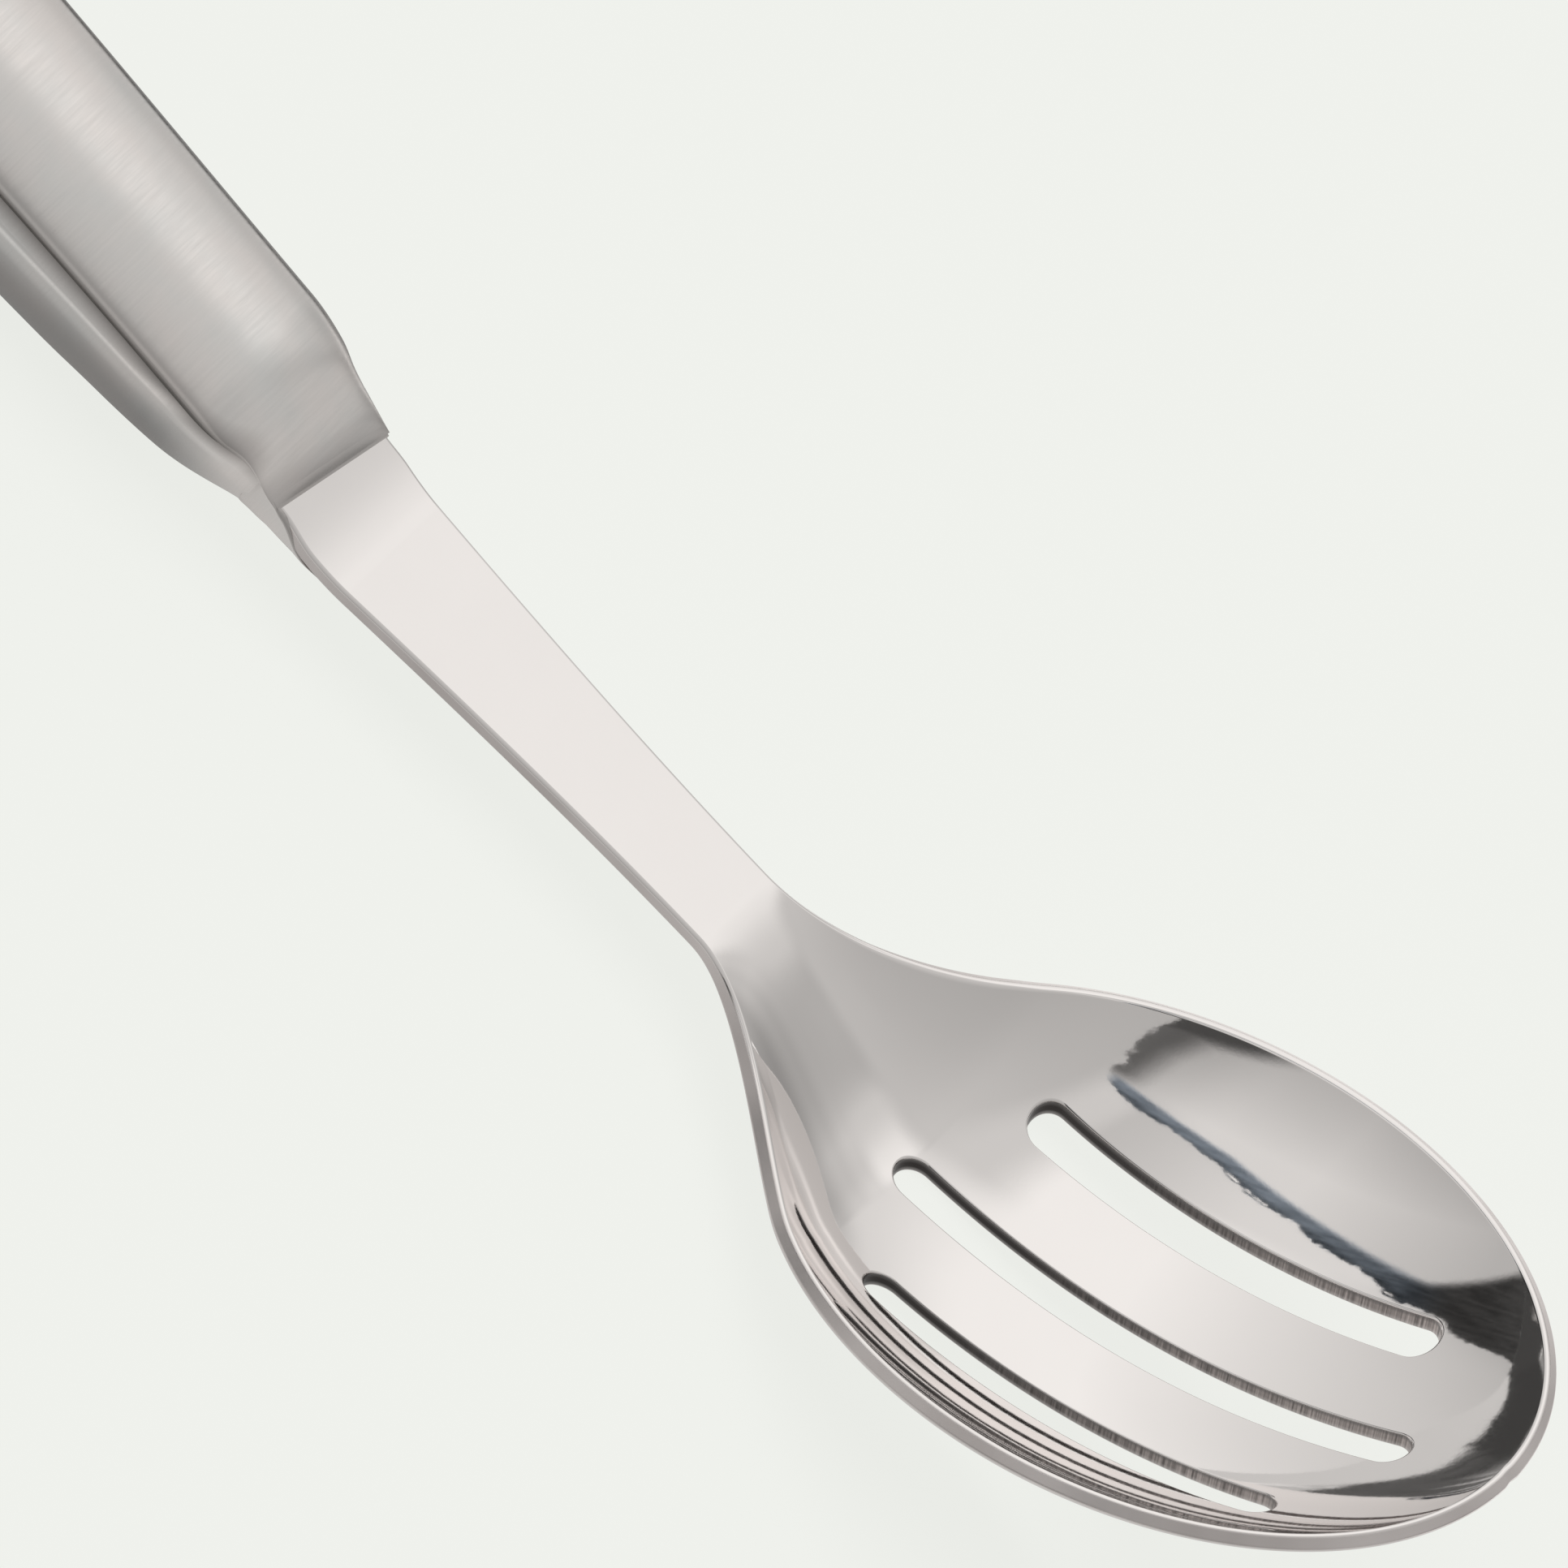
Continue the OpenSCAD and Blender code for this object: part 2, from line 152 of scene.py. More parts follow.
# The bowl's own frame: the rim's lower edge is z = 0 and x runs to the tip
s = spoon
rimLean = np.arctan(s["bowlPower"] * s["bowlDepth"] / (s["bowlWidth"] / 2))
tipLean = np.arctan(2 * s["bowlDepth"] / (s["bowlLength"] / 2 + s["deepestBack"]))
inW = s["bowlWidth"] / 2 - s["sheet"] * np.sin(rimLean)
inL = s["bowlLength"] / 2 - s["sheet"] * np.sin(tipLean)
edgeH = s["sheet"] * np.cos(rimLean)
pitch = np.radians(s["bowlPitch"])
neckSlope = -np.tan(pitch)


def parabolaZ(x):
    # The floor's height: a parabola from the deepest point up to the rim's tip
    return -s["bowlDepth"] + (edgeH + s["bowlDepth"]) * (
        (x + s["deepestBack"]) / (inL + s["deepestBack"]))**2


def floorZ(x):
    # The parabola, and behind it a cubic that climbs the heel to the neck
    run = s["neckBack"] - s["heelBack"]
    start = parabolaZ(-s["heelBack"])
    slope = slopeOf(parabolaZ, -s["heelBack"])
    t = (-s["heelBack"] - x) / run
    return np.where(x >= -s["heelBack"], parabolaZ(x),
                    hermite(t, start, s["neckRise"], -slope * run, -neckSlope * run))


def edgeZ(x):
    # The rim's height: level round the bowl, and behind it a cubic up to the neck
    run = s["neckBack"] - s["rimBack"]
    t = (-s["rimBack"] - x) / run
    return np.where(x >= -s["rimBack"], edgeH,
                    hermite(t, edgeH, s["neckRise"], 0, -neckSlope * run))


ellipseBack = inL * s["ellipseShare"]


def halfW(x, inset=0.0):
    # An ellipse, which gives way to a curve into the neck; inset draws the line in
    a, b = inL - inset, inW - inset
    end = b * np.sqrt(1 - (ellipseBack / a)**2)
    slope = (b / a)**2 * ellipseBack / end
    run = s["neckBack"] - ellipseBack
    t = np.clip((-ellipseBack - x) / run, 0, 1)
    return np.where(x >= -ellipseBack, b * np.sqrt(np.clip(1 - (x / a)**2, 0, None)),
                    hermite(t, end, s["neckWidth"] / 2 - inset, -slope * run, 0))


def bowlZ(x, y):
    # Between the floor line and the rim the height rises as a power of the share
    u = np.abs(y) / halfW(np.minimum(x, inL - 1e-3))
    return floorZ(x) + (edgeZ(x) - floorZ(x)) * u**s["bowlPower"]


def bowlSlopes(x, y):
    # The slopes of bowlZ along x and along y
    x = np.minimum(x, inL - 1e-3)
    w, p = halfW(x), s["bowlPower"]
    u = np.abs(y) / w
    f, e = floorZ(x), edgeZ(x)
    fx, ex, wx = slopeOf(floorZ, x), slopeOf(edgeZ, x), slopeOf(halfW, np.minimum(x, inL - 2e-3))
    zx = fx + (ex - fx) * u**p - (e - f) * p * u**p * wx / w
    zy = np.sign(y) * (e - f) * p * u**(p - 1) / w
    return zx, zy


def bowlNormal(x, y):
    # Square to the surface, from its two slopes
    zx, zy = bowlSlopes(x, y)
    return unit(np.stack([-zx, -zy, np.ones_like(zx)], -1))


def tilted(p):
    # Turned about Y by the bowl's pitch
    c, n = np.cos(pitch), np.sin(pitch)
    return np.stack([p[..., 0] * c - p[..., 2] * n, p[..., 1],
                     p[..., 0] * n + p[..., 2] * c], -1)


# The bowl is set down so that its heel touches the table and its tip ends the length
gx = np.linspace(-s["neckBack"], inL - 0.01, 600)[:, None]
gy = halfW(gx) * np.linspace(0, 1, 60)
gx = gx + 0 * gy
under = tilted(np.stack([gx, gy, bowlZ(gx, gy)], -1) - s["sheet"] * bowlNormal(gx, gy))
place = np.array([s["length"] / 2 - under[..., 0].max(), 0, -under[..., 2].min()])
neckStart = tilted(np.array([-s["neckBack"], 0.0, s["neckRise"]])) + place
noseX = s["handleLength"] - s["length"] / 2
print("scene: bowl placed at", place.round(2), "neck starts at", neckStart.round(2))

# The handle, measured by d, the distance behind its nose
handleL = s["handleLength"]
bendEnd, fullWAt, bellyWAt = (handleL * k / 144 for k in (5, 10, 22))
touchAt, liftAt, archAt = (handleL * k / 144 for k in (27, 33, 88))
archW, endW = 1.1, 0.92  # widths of the rear half, as shares of the seam's
# What is finer than in the source: the seam's pinch at the nose, a slimmer belly and the
# slope down to the neck, which runs askew
finer = {"pinch": 1.0, "pinchAt": 2.2, "pinchRun": 2.7, "tuck": 0.5, "tuckRise": 0.35,
         "slopeTop": -1.8, "foot": 4.1, "footSlope": 0.62, "footZ": 0.02, "askew": 0.13}
footAt = finer["foot"]


def seamZ(d):
    # The seam's height: cubics over the bend, up to the arch and down to the end
    bendRun, archRun, tailRun = bendEnd + s["rootRun"], archAt - bendEnd, handleL - archAt
    low, mid = neckStart[2], neckStart[2] + s["bendRise"]
    t = np.clip((d + s["rootRun"]) / bendRun, 0, 1)
    a = hermite(t, low, mid, 0, 0.1 * bendRun)
    b = hermite((d - bendEnd) / archRun, mid, s["archZ"], 0.1 * archRun, 0)
    c = hermite((d - archAt) / tailRun, s["archZ"], s["endZ"], 0, -0.14 * tailRun)
    return np.where(d <= bendEnd, a, np.where(d <= archAt, b, c))


def underZ(d):
    # The underside: a cubic down to the table, level on it, and a cubic up again
    tail = handleL - liftAt
    a = hermite(d / touchAt, s["noseUnderZ"], 0, -0.48 * touchAt, 0)
    b = hermite((d - liftAt) / tail, 0, s["endUnderZ"], 0, 0.1 * tail)
    return np.where(d <= touchAt, a + finer["tuckRise"] * tuck(d) * smooth((24 - d) / 12),
                    np.where(d <= liftAt, 0, b))


def pinch(d):
    # How far the seam draws in beside the nose: a bell curve
    return finer["pinch"] * np.exp(-((d - finer["pinchAt"]) / finer["pinchRun"])**2)


def seamHalfW(d):
    # The seam's half-width: cubics to the full width, to the arch and to the end
    w = s["seamWidth"] / 2
    a = hermite(np.clip(d, 0, None) / fullWAt, s["rootWidth"] / 2, w, 0.2 * fullWAt, 0)
    b = hermite((d - fullWAt) / (archAt - fullWAt), w, archW * w, 0, 0)
    c = hermite((d - archAt) / (handleL - archAt), archW * w, endW * w, 0, 0)
    return np.where(d <= fullWAt, a, np.where(d <= archAt, b, c)) - pinch(d)


def tuck(d):
    # Share of the belly's slimming, which starts at the nose and ends by 38 mm
    return smooth((d + 6) / 8) * smooth((38 - d) / 20)


def bellyHalfW(d):
    # The belly's half-width, which swells out beyond the seam's
    return (seamHalfW(d) + pinch(d) - finer["tuck"] * tuck(d)
            + (s["bellyWidth"] - s["seamWidth"]) / 2 * smooth(d / bellyWAt))


def bellyPowerAt(d):
    # The belly's section is squarer at the nose and rounder further back
    return s["nosePower"] + (s["bellyPower"] - s["nosePower"]) * smooth(d / bellyWAt)


def crownZ(d):
    # Height of the upper shell above the seam, a cubic up to the full crown
    t = np.clip((d + s["topLap"]) / (fullWAt + s["topLap"]), 0, 1)
    return hermite(t, s["topLip"], s["crown"], 0.12 * (fullWAt + s["topLap"]), 0)


def rampZ(d):
    # The crown, which comes down to the neck in a short slope with a crease at its foot
    top = np.array(finer["slopeTop"])
    run = footAt + top
    t = np.clip((d + footAt) / run, 0, 1)
    step = hermite(t, finer["footZ"], crownZ(top), finer["footSlope"] * run,
                   run * slopeOf(crownZ, top))
    return np.where(d < top, step, crownZ(d))


def skewed(d, y):
    # The slope's line runs askew across the spoon: a further back row bends to it
    return d - finer["askew"] * y * smooth((12 - d) / 8)


def topHalfW(d):
    # Ahead of the nose the upper shell is as wide as the neck below it
    return np.where(d < 0, neckHalfW(noseX - np.minimum(d, 0)) - 0.02, seamHalfW(d) + pinch(d))


def endRoundAt(d, off):
    # Shrinks a section towards the handle's end along a quarter ellipse
    t = np.clip((d - handleL + s["endRound"]) / (s["endRound"] - off), 0, 1)
    return np.sqrt(1 - t**2)


def neckHalfW(x):
    # A cubic from the narrow end behind the bowl to the root
    t = (neckStart[0] - x) / (neckStart[0] - noseX)
    return hermite(t, s["neckWidth"] / 2, s["rootWidth"] / 2, 0,
                   0.07 * (neckStart[0] - noseX))


# Materials
def feed(tree, node, values):
    # Sets inputs and settings, and links the inputs that come from another node
    for key, value in values.items():
        if key not in node.inputs.keys():
            setattr(node, key, value)
        elif isinstance(value, bpy.types.NodeSocket):
            tree.links.new(value, node.inputs[key])
        else:
            node.inputs[key].default_value = value


def newMaterial(name, metallic=1.0):
    # A material, its node tree and its main shader
    material = bpy.data.materials.new(name)
    material.use_nodes = True
    tree = material.node_tree
    shader = tree.nodes["Principled BSDF"]
    shader.inputs["Metallic"].default_value = metallic
    return material, tree, shader


def addNode(tree, kind, **values):
    node = tree.nodes.new(kind)
    feed(tree, node, values)
    return node


def stretched(tree, scale):
    # Object coordinates, in metres, scaled to cycles along each axis
    coord = addNode(tree, "ShaderNodeTexCoord").outputs["Object"]
    return addNode(tree, "ShaderNodeMapping", Vector=coord, Scale=scale).outputs["Vector"]


def ramp(tree, value, low, high, a, b):
    # Maps low to high evenly onto a to b
    node = addNode(tree, "ShaderNodeMapRange", Value=value)
    feed(tree, node, {"From Min": low, "From Max": high, "To Min": a, "To Max": b})
    return node.outputs["Result"]


def noiseOf(tree, scale, detail=3.0, roughness=0.55):
    # Noise, in cycles per metre along each axis
    return addNode(tree, "ShaderNodeTexNoise", Vector=stretched(tree, scale), Scale=1.0,
                   Detail=detail, Roughness=roughness).outputs["Fac"]


def mixed(tree, factor, a, b):
    # Mixes two colours, each either fixed or the output of a node
    a, b = ((*k, 1) if isinstance(k, tuple) else k for k in (a, b))
    return addNode(tree, "ShaderNodeMix", data_type="RGBA", Factor=factor, A=a,
                   B=b).outputs["Result"]


def bumpOf(tree, height, strength, distance):
    # A bump that is the distance high, in metres, where the height is 1
    return addNode(tree, "ShaderNodeBump", Height=height, Strength=strength,
                   Distance=distance).outputs["Normal"]


def marked(tree, name):
    # A value that the mesh carries on its points
    return addNode(tree, "ShaderNodeAttribute", attribute_name=name).outputs["Fac"]


# wall and wallLight: the slot walls' sheared colour, partly their own finish, partly painted shade
# and painted light
polish = {"light": (0.935, 0.905, 0.895), "dark": (0.905, 0.875, 0.866),
          "roughLow": 0.03, "roughHigh": 0.07, "wave": 4e-6, "grain": 1.1e-6,
          "wall": (0.05, 0.045, 0.044), "wallLight": (0.66, 0.59, 0.57),
          "face": (0.80, 0.755, 0.745), "faceDark": (0.60, 0.56, 0.55),
          "edgeRough": 0.3, "streakAcross": 1 / 4200, "streakUp": 1 / 90}
mirror, tree, shader = newMaterial("mirrorSteel")
cloud = noiseOf(tree, (90, 90, 90))
clean = mixed(tree, cloud, polish["light"], polish["dark"])
# Slot walls: sheared, with upright streaks; dark behind and lighter towards the tip, which is
# painted shade and painted light
sheared, rimFace = marked(tree, "sheared"), marked(tree, "rimFace")
upright = addNode(tree, "ShaderNodeMapping", vector_type="TEXTURE", Rotation=(0, -pitch, 0),
                  Vector=addNode(tree, "ShaderNodeTexCoord").outputs["Object"],
                  Scale=(polish["streakAcross"], polish["streakAcross"], polish["streakUp"]))
streaks = addNode(tree, "ShaderNodeTexNoise", Vector=upright.outputs["Vector"], Scale=1.0,
                  Detail=2.0, Roughness=0.5)
streaky = mixed(tree, ramp(tree, streaks.outputs["Fac"], 0.3, 0.7, 0.2, 0.85),
                polish["wall"], polish["wallLight"])
wallColor = mixed(tree, marked(tree, "paintedWallLight"), polish["wall"], streaky)
color = mixed(tree, sheared, clean, wallColor)
blotches = noiseOf(tree, (45, 45, 45))
faceColor = mixed(tree, ramp(tree, blotches, 0.35, 0.65, 0, 1),
                  polish["face"], polish["faceDark"])
fine = noiseOf(tree, (900, 2600, 2600), 4.0, 0.7)
smoothRough = ramp(tree, fine, 0.35, 0.75, polish["roughLow"], polish["roughHigh"])
rough = addNode(tree, "ShaderNodeMath", operation="MULTIPLY_ADD")
edges = addNode(tree, "ShaderNodeMath", operation="ADD")
tree.links.new(sheared, edges.inputs[0])
tree.links.new(rimFace, edges.inputs[1])
tree.links.new(edges.outputs[0], rough.inputs[0])
rough.inputs[1].default_value = polish["edgeRough"]
tree.links.new(smoothRough, rough.inputs[2])
wave = bumpOf(tree, noiseOf(tree, (240, 240, 240), 1.0), 1.0, polish["wave"])
grain = addNode(tree, "ShaderNodeBump", Strength=1.0, Distance=polish["grain"], Normal=wave,
                Height=noiseOf(tree, (1700, 1700, 1700), 3.0, 0.6))
feed(tree, shader, {"Base Color": mixed(tree, rimFace, color, faceColor),
                    "Roughness": rough.outputs[0], "Normal": grain.outputs[0]})

satin = {"pink": (0.95, 0.905, 0.885), "green": (0.88, 0.875, 0.865),
         "roughLow": 0.2, "roughHigh": 0.27, "grain": 1.6e-6, "streak": 0.05,
         "groove": (0.30, 0.28, 0.27)}
brushed, tree, shader = newMaterial("brushedSteel")
patches = noiseOf(tree, (55, 80, 80), 3.0, 0.6)
mottled = mixed(tree, ramp(tree, patches, 0.35, 0.65, 0, 1), satin["pink"], satin["green"])
lines = noiseOf(tree, (2600, 150, 150), 4.0, 0.65)
dull = mixed(tree, ramp(tree, lines, 0.3, 0.7, 0, satin["streak"]), (1, 1, 1), (0, 0, 0))
tone = addNode(tree, "ShaderNodeMix", data_type="RGBA", blend_type="MULTIPLY", Factor=1.0,
               A=mottled, B=dull).outputs["Result"]
fine = noiseOf(tree, (5200, 260, 260), 4.0, 0.65)
# Painted shade: the marked share darkens the colour along the seam's groove, on the slope down to
# the neck and on the nose weld's edges
feed(tree, shader, {
    "Base Color": mixed(tree, marked(tree, "groove"), tone, satin["groove"]),
    "Roughness": ramp(tree, lines, 0.3, 0.7, satin["roughLow"], satin["roughHigh"]),
    "Normal": bumpOf(tree, fine, 1.0, satin["grain"])})

# The bead is darker than the weld's own colour: partly the weld's darker tone, partly painted
# shade of the groove it sits in
bead = {"light": (0.24, 0.23, 0.22), "dark": (0.12, 0.115, 0.11), "roughLow": 0.3,
        "roughHigh": 0.5, "grain": 0.3, "height": 5e-5}
welded, tree, shader = newMaterial("weldSteel")
spots = noiseOf(tree, (600, 600, 600), 4.0, 0.6)
feed(tree, shader, {
    "Base Color": mixed(tree, spots, bead["light"], bead["dark"]),
    "Roughness": ramp(tree, spots, 0.3, 0.7, bead["roughLow"], bead["roughHigh"]),
    "Normal": bumpOf(tree, spots, bead["grain"], bead["height"])})
print("scene: materials made")

# Bowl and neck: one sheet, in rows along the spoon and four bands of columns across
# it, which part round the slots and close behind and ahead of them
bowl = {"slotWidth": 4.7, "slotPitch": 14.6, "middleSlot": 61, "sideSlot": 48.5,
        "slotAhead": 0.2, "slotEdge": 0.24, "rimEdge": 0.45, "tangWidth": 15,
        "tangLength": 34, "tangGap": 0.6, "clear": 0.55, "clearMore": 0.6,
        "outerColumns": 20, "innerColumns": 16, "tipWardFrom": 99, "tipWardRun": 34,
        "wallShade": 0.25}
slotRound, slotMid, rimRound = bowl["slotEdge"], bowl["slotAhead"], bowl["rimEdge"]
mouth = bowl["slotWidth"] / 2 + slotRound
halfMid, halfSide = bowl["middleSlot"] / 2 + slotRound, bowl["sideSlot"] / 2 + slotRound
midBack, midFront = slotMid - halfMid, slotMid + halfMid
sideBack, sideFront = slotMid - halfSide, slotMid + halfSide


def spread(a, b, count, dense):
    # Steps from a to b, even or drawn close to one end as on a circle
    t = np.linspace(0, 1, count + 1)
    t = {"even": t, "start": 1 - np.cos(t * np.pi / 2), "end": np.sin(t * np.pi / 2)}[dense]
    return a + (b - a) * t


runs = [(-s["neckBack"], midBack, 44, "even"), (midBack, midBack + mouth, 12, "start"),
        (midBack + mouth, sideBack, 6, "even"), (sideBack, sideBack + mouth, 12, "start"),
        (sideBack + mouth, sideFront - mouth, 70, "even"),
        (sideFront - mouth, sideFront, 12, "end"), (sideFront, midFront - mouth, 6, "even"),
        (midFront - mouth, midFront, 12, "end"), (midFront, inL - rimRound, 24, "end")]
rowX = join([spread(*run)[:-1] for run in runs] + [[inL - rimRound]])


def slotHalf(x, half):
    # Half-width of the slot's outline at x, with its round ends, and 0 beyond them
    past = np.clip(np.abs(x - slotMid) - (half - mouth), 0, None)
    return np.sqrt(np.clip(mouth**2 - past**2, 0, None))


def trackY(x):
    # The side slots' middle line, which keeps its share of the width beyond them
    y = bowl["slotPitch"]
    share = y * halfW(x, rimRound)
    return np.where(x > sideFront, share / halfW(np.array(sideFront), rimRound),
                    np.where(x < sideBack, share / halfW(np.array(sideBack), rimRound), y))


outer = np.linspace(0, 1, bowl["outerColumns"] + 1)**0.85
inner = np.linspace(0, 1, bowl["innerColumns"] + 1)
open1, open0 = slotHalf(rowX, halfSide), slotHalf(rowX, halfMid)
open1[np.abs(rowX - slotMid) >= halfSide - 1e-6] = 0
open0[np.abs(rowX - slotMid) >= halfMid - 1e-6] = 0
track, wide = trackY(rowX), halfW(rowX, rimRound)
bandD = (track + open1)[:, None] + (wide - track - open1)[:, None] * outer
bandC = open0[:, None] + (track - open1 - open0)[:, None] * inner
rowY = join([-bandD[:, ::-1], -bandC[:, ::-1], bandC, bandD], 1)
gridX = rowX[:, None] + 0 * rowY
topNormal = bowlNormal(gridX, rowY)
topPoint = np.stack([gridX, rowY, bowlZ(gridX, rowY)], -1)


def underPoint(x, y, lean):
    # The lower face lies a sheet's thickness along the normal below some point of the
    # upper one; lean 0 finds the point straight below, lean 1 the one along the normal
    t = s["sheet"]
    zx, zy = bowlSlopes(x, y)
    n = np.sqrt(1 + zx**2 + zy**2)
    wantX, wantY = x + lean * t * zx / n, y + lean * t * zy / n
    px, py = x.copy(), y.copy()
    for _ in range(30):
        zx, zy = bowlSlopes(px, py)
        n = np.sqrt(1 + zx**2 + zy**2)
        px, py = wantX - t * zx / n, wantY - t * zy / n
    point = np.stack([px, py, bowlZ(px, py)], -1) - t * bowlNormal(px, py)
    return point, -bowlNormal(px, py)


aside = smooth((np.abs(rowY) - (track + open1)[:, None])
               / np.maximum(wide - track - open1, 1e-6)[:, None])
ahead = smooth((rowX - midFront) / (inL - rimRound - midFront))
behind = smooth((midBack - rowX) / (midBack + s["neckBack"]))
lean = 1 - (1 - aside) * (1 - np.maximum(ahead, behind))[:, None]
lowPoint, lowNormal = underPoint(gridX, rowY, lean)

# Neck and tang rows, behind the bowl's rows, in the part's own frame
neckX = join([np.linspace(noseX - bowl["tangLength"], noseX - bowl["tangGap"], 12),
              np.linspace(noseX, noseX + s["rootRun"], 29)[:-1],
              np.linspace(noseX + s["rootRun"], neckStart[0], 40)[:-1]])
neckD = noseX - neckX
# Beside the nose the sheet keeps clear of the weld that rises round its edges
neckW = np.where(neckD > 0.1, bowl["tangWidth"] / 2,
                 neckHalfW(np.maximum(neckX, noseX)) - bowl["clear"] * smooth((neckD + 9) / 5)
                 - bowl["clearMore"] * smooth((neckD + 3) / 3))
neckH = seamZ(neckD)
shareY = rowY[0] / wide[0]
neckY = (neckW - rimRound)[:, None] * shareY
neckSlopeX = slopeOf(lambda x: seamZ(noseX - x), neckX)
neckTop = np.stack([neckX[:, None] + 0 * neckY, neckY, neckH[:, None] + 0 * neckY], -1)
neckNormal = unit(np.stack([-neckSlopeX, 0 * neckX, 1 + 0 * neckX], -1))[:, None] + 0 * neckTop
neckLow = neckTop - [0, 0, s["sheet"]]

top = join([neckTop, tilted(topPoint) + place])
topN = join([neckNormal, tilted(topNormal)])
low = join([neckLow, tilted(lowPoint) + place])
lowN = join([-neckNormal, tilted(lowNormal)])
rows, cols = top.shape[:2]
index = np.arange(rows * cols).reshape(rows, cols)
nA, nB = bowl["outerColumns"] + 1, bowl["innerColumns"] + 1
first = len(neckX)
shut1 = join([np.ones(first, bool), open1 == 0])
shut0 = join([np.ones(first, bool), open0 == 0])
for k, shut in ((nA, shut1), (nA + nB, shut0), (nA + 2 * nB, shut1)):
    index[shut, k] = index[shut, k - 1]
index[-1, :] = index[-1, 0]
bands = [(0, nA), (nA, nA + nB), (nA + nB, nA + 2 * nB), (nA + 2 * nB, cols)]
points, normals = [flatten(top, low)], [flatten(topN, lowN)]
count = rows * cols
faces = []
marks = {key: [np.zeros(2 * count)] for key in ("sheared", "rimFace", "paintedWallLight")}
for a, b in bands:
    faces.append(gridQuads(index[:, a:b])[:, ::-1])
    faces.append(gridQuads(index[:, a:b] + count))
total = 2 * count
angles = np.radians([18, 36, 54, 72, 90])


def addRings(ringPoints, ringNormals, topLoop, lowLoop, closed, flip, mark, shares):
    # Rings of points from the upper loop to the lower one, joined in strips
    global total
    n = len(topLoop)
    rings = np.arange(ringPoints.shape[0] * n).reshape(-1, n) + total
    total += ringPoints.shape[0] * n
    points.append(flatten(ringPoints))
    normals.append(flatten(ringNormals))
    share = np.repeat(np.array(shares)[:, None], n, 1).ravel()
    for key in ("sheared", "rimFace"):
        marks[key].append(share if key == mark else 0 * share)
    # Painted shade: the wall is dark just below its upper edge; painted light makes it lighter
    # towards the tip
    lit = np.ones((len(shares), 1))
    lit[:len(angles)] = bowl["wallShade"]
    forward = smooth((ringPoints[..., 0] - bowl["tipWardFrom"]) / bowl["tipWardRun"])
    marks["paintedWallLight"].append((forward * lit).ravel())
    strip = join([topLoop[None], rings, lowLoop[None]])
    if closed:
        strip = join([strip, strip[:, :1]], 1)
    f = gridQuads(strip)
    faces.append(f[:, ::-1] if flip else f)
    return strip


# Slot walls: a small round edge, a straight wall and a small round edge below
for colA, colB, half, opened, yc in (
        (nA - 1, nA, halfSide, open1, -bowl["slotPitch"]),
        (nA + nB - 1, nA + nB, halfMid, open0, 0),
        (nA + 2 * nB - 1, nA + 2 * nB, halfSide, open1, bowl["slotPitch"])):
    inRows = np.where(opened > 0)[0]
    a0, a1 = inRows[0] - 1, inRows[-1] + 1
    loopRows = join([np.arange(a0, a1 + 1), inRows[::-1]])
    loopCols = join([np.full(a1 - a0 + 1, colB), np.full(len(inRows), colA)])
    q = topPoint[loopRows, loopCols][:, :2]
    middle = np.column_stack([np.clip(q[:, 0], slotMid - half + mouth, slotMid + half - mouth),
                              np.full(len(q), yc)])
    out = unit(q - middle)
    wall = middle + out * (mouth - slotRound)
    steps = []
    for lower in (False, True):
        for a in angles[::-1] if lower else angles:
            x, y = (wall + out * slotRound * (1 - np.sin(a))).T
            p, n = np.column_stack([x, y, bowlZ(x, y)]), bowlNormal(x, y)
            if lower:
                p, n = underPoint(x, y, 0 * x)
            p[:, 2] += slotRound * (1 - np.cos(a)) * (1 if lower else -1)
            n = n * np.cos(a)
            n[:, :2] -= out * np.sin(a)
            steps.append((p, n))
    flatN = np.column_stack([-out, np.zeros(len(out))])
    walls = [(steps[4][0] * (1 - t) + steps[5][0] * t, flatN) for t in (0.33, 0.67)]
    ring, ringN = (np.array(k) for k in zip(*steps[:5], *walls, *steps[5:]))
    loop = index[loopRows + first, loopCols]
    addRings(tilted(ring) + place, tilted(ringN), loop, loop + count, True, True, "sheared",
             [0, 0, 0.1, 0.5, 0.9, 1, 1, 0.7, 0.1, 0, 0, 0])

# The rim: round edges and a flat edge face between them, from the tang round the tip
switch = -ellipseBack * (inL - rimRound) / inL
fadeOut = 1 - smooth((switch - rowX) / (s["neckBack"] + switch))
edgeX = np.where(rowX >= switch, rowX / (inL - rimRound) * inL,
                 rowX - ellipseBack * rimRound / inL * fadeOut)
edgeX[-1] = inL - 1e-3
edgeY = np.where(rowX >= switch, inW * np.sqrt(np.clip(1 - (edgeX / inL)**2, 0, None)),
                 halfW(edgeX))
edgeY[-1] = 0
heldY = np.minimum(edgeY, halfW(edgeX))
bowlEdge = tilted(np.stack([edgeX, edgeY, bowlZ(edgeX, heldY)], -1)) + place
bowlEdgeN = tilted(bowlNormal(edgeX, heldY))
edge = join([np.stack([neckX, neckW, neckH], -1), bowlEdge])
edgeN = join([neckNormal[:, 0], bowlEdgeN])
mirrorY = np.array([1, -1, 1])
edge = join([edge, edge[-2::-1] * mirrorY])
edgeN = join([edgeN, edgeN[-2::-1] * mirrorY])
rimLoop = join([index[:, -1], index[-2::-1, 0]])
rimTop = join([top[:, -1], top[-2::-1, 0]])
away = edge - rimTop
away -= (away * edgeN).sum(-1, keepdims=True) * edgeN
reach = np.linalg.norm(away, axis=-1, keepdims=True)
away = unit(away)
flatShare, roundDown = np.array([0.33, 0.67]), rimRound * (1 - np.cos(angles))
down = join([roundDown, rimRound + (s["sheet"] - 2 * rimRound) * flatShare,
             s["sheet"] - roundDown[::-1]])[:, None, None]
turn = join([angles, [np.pi / 2] * 2, np.pi - angles[::-1]])[:, None, None]
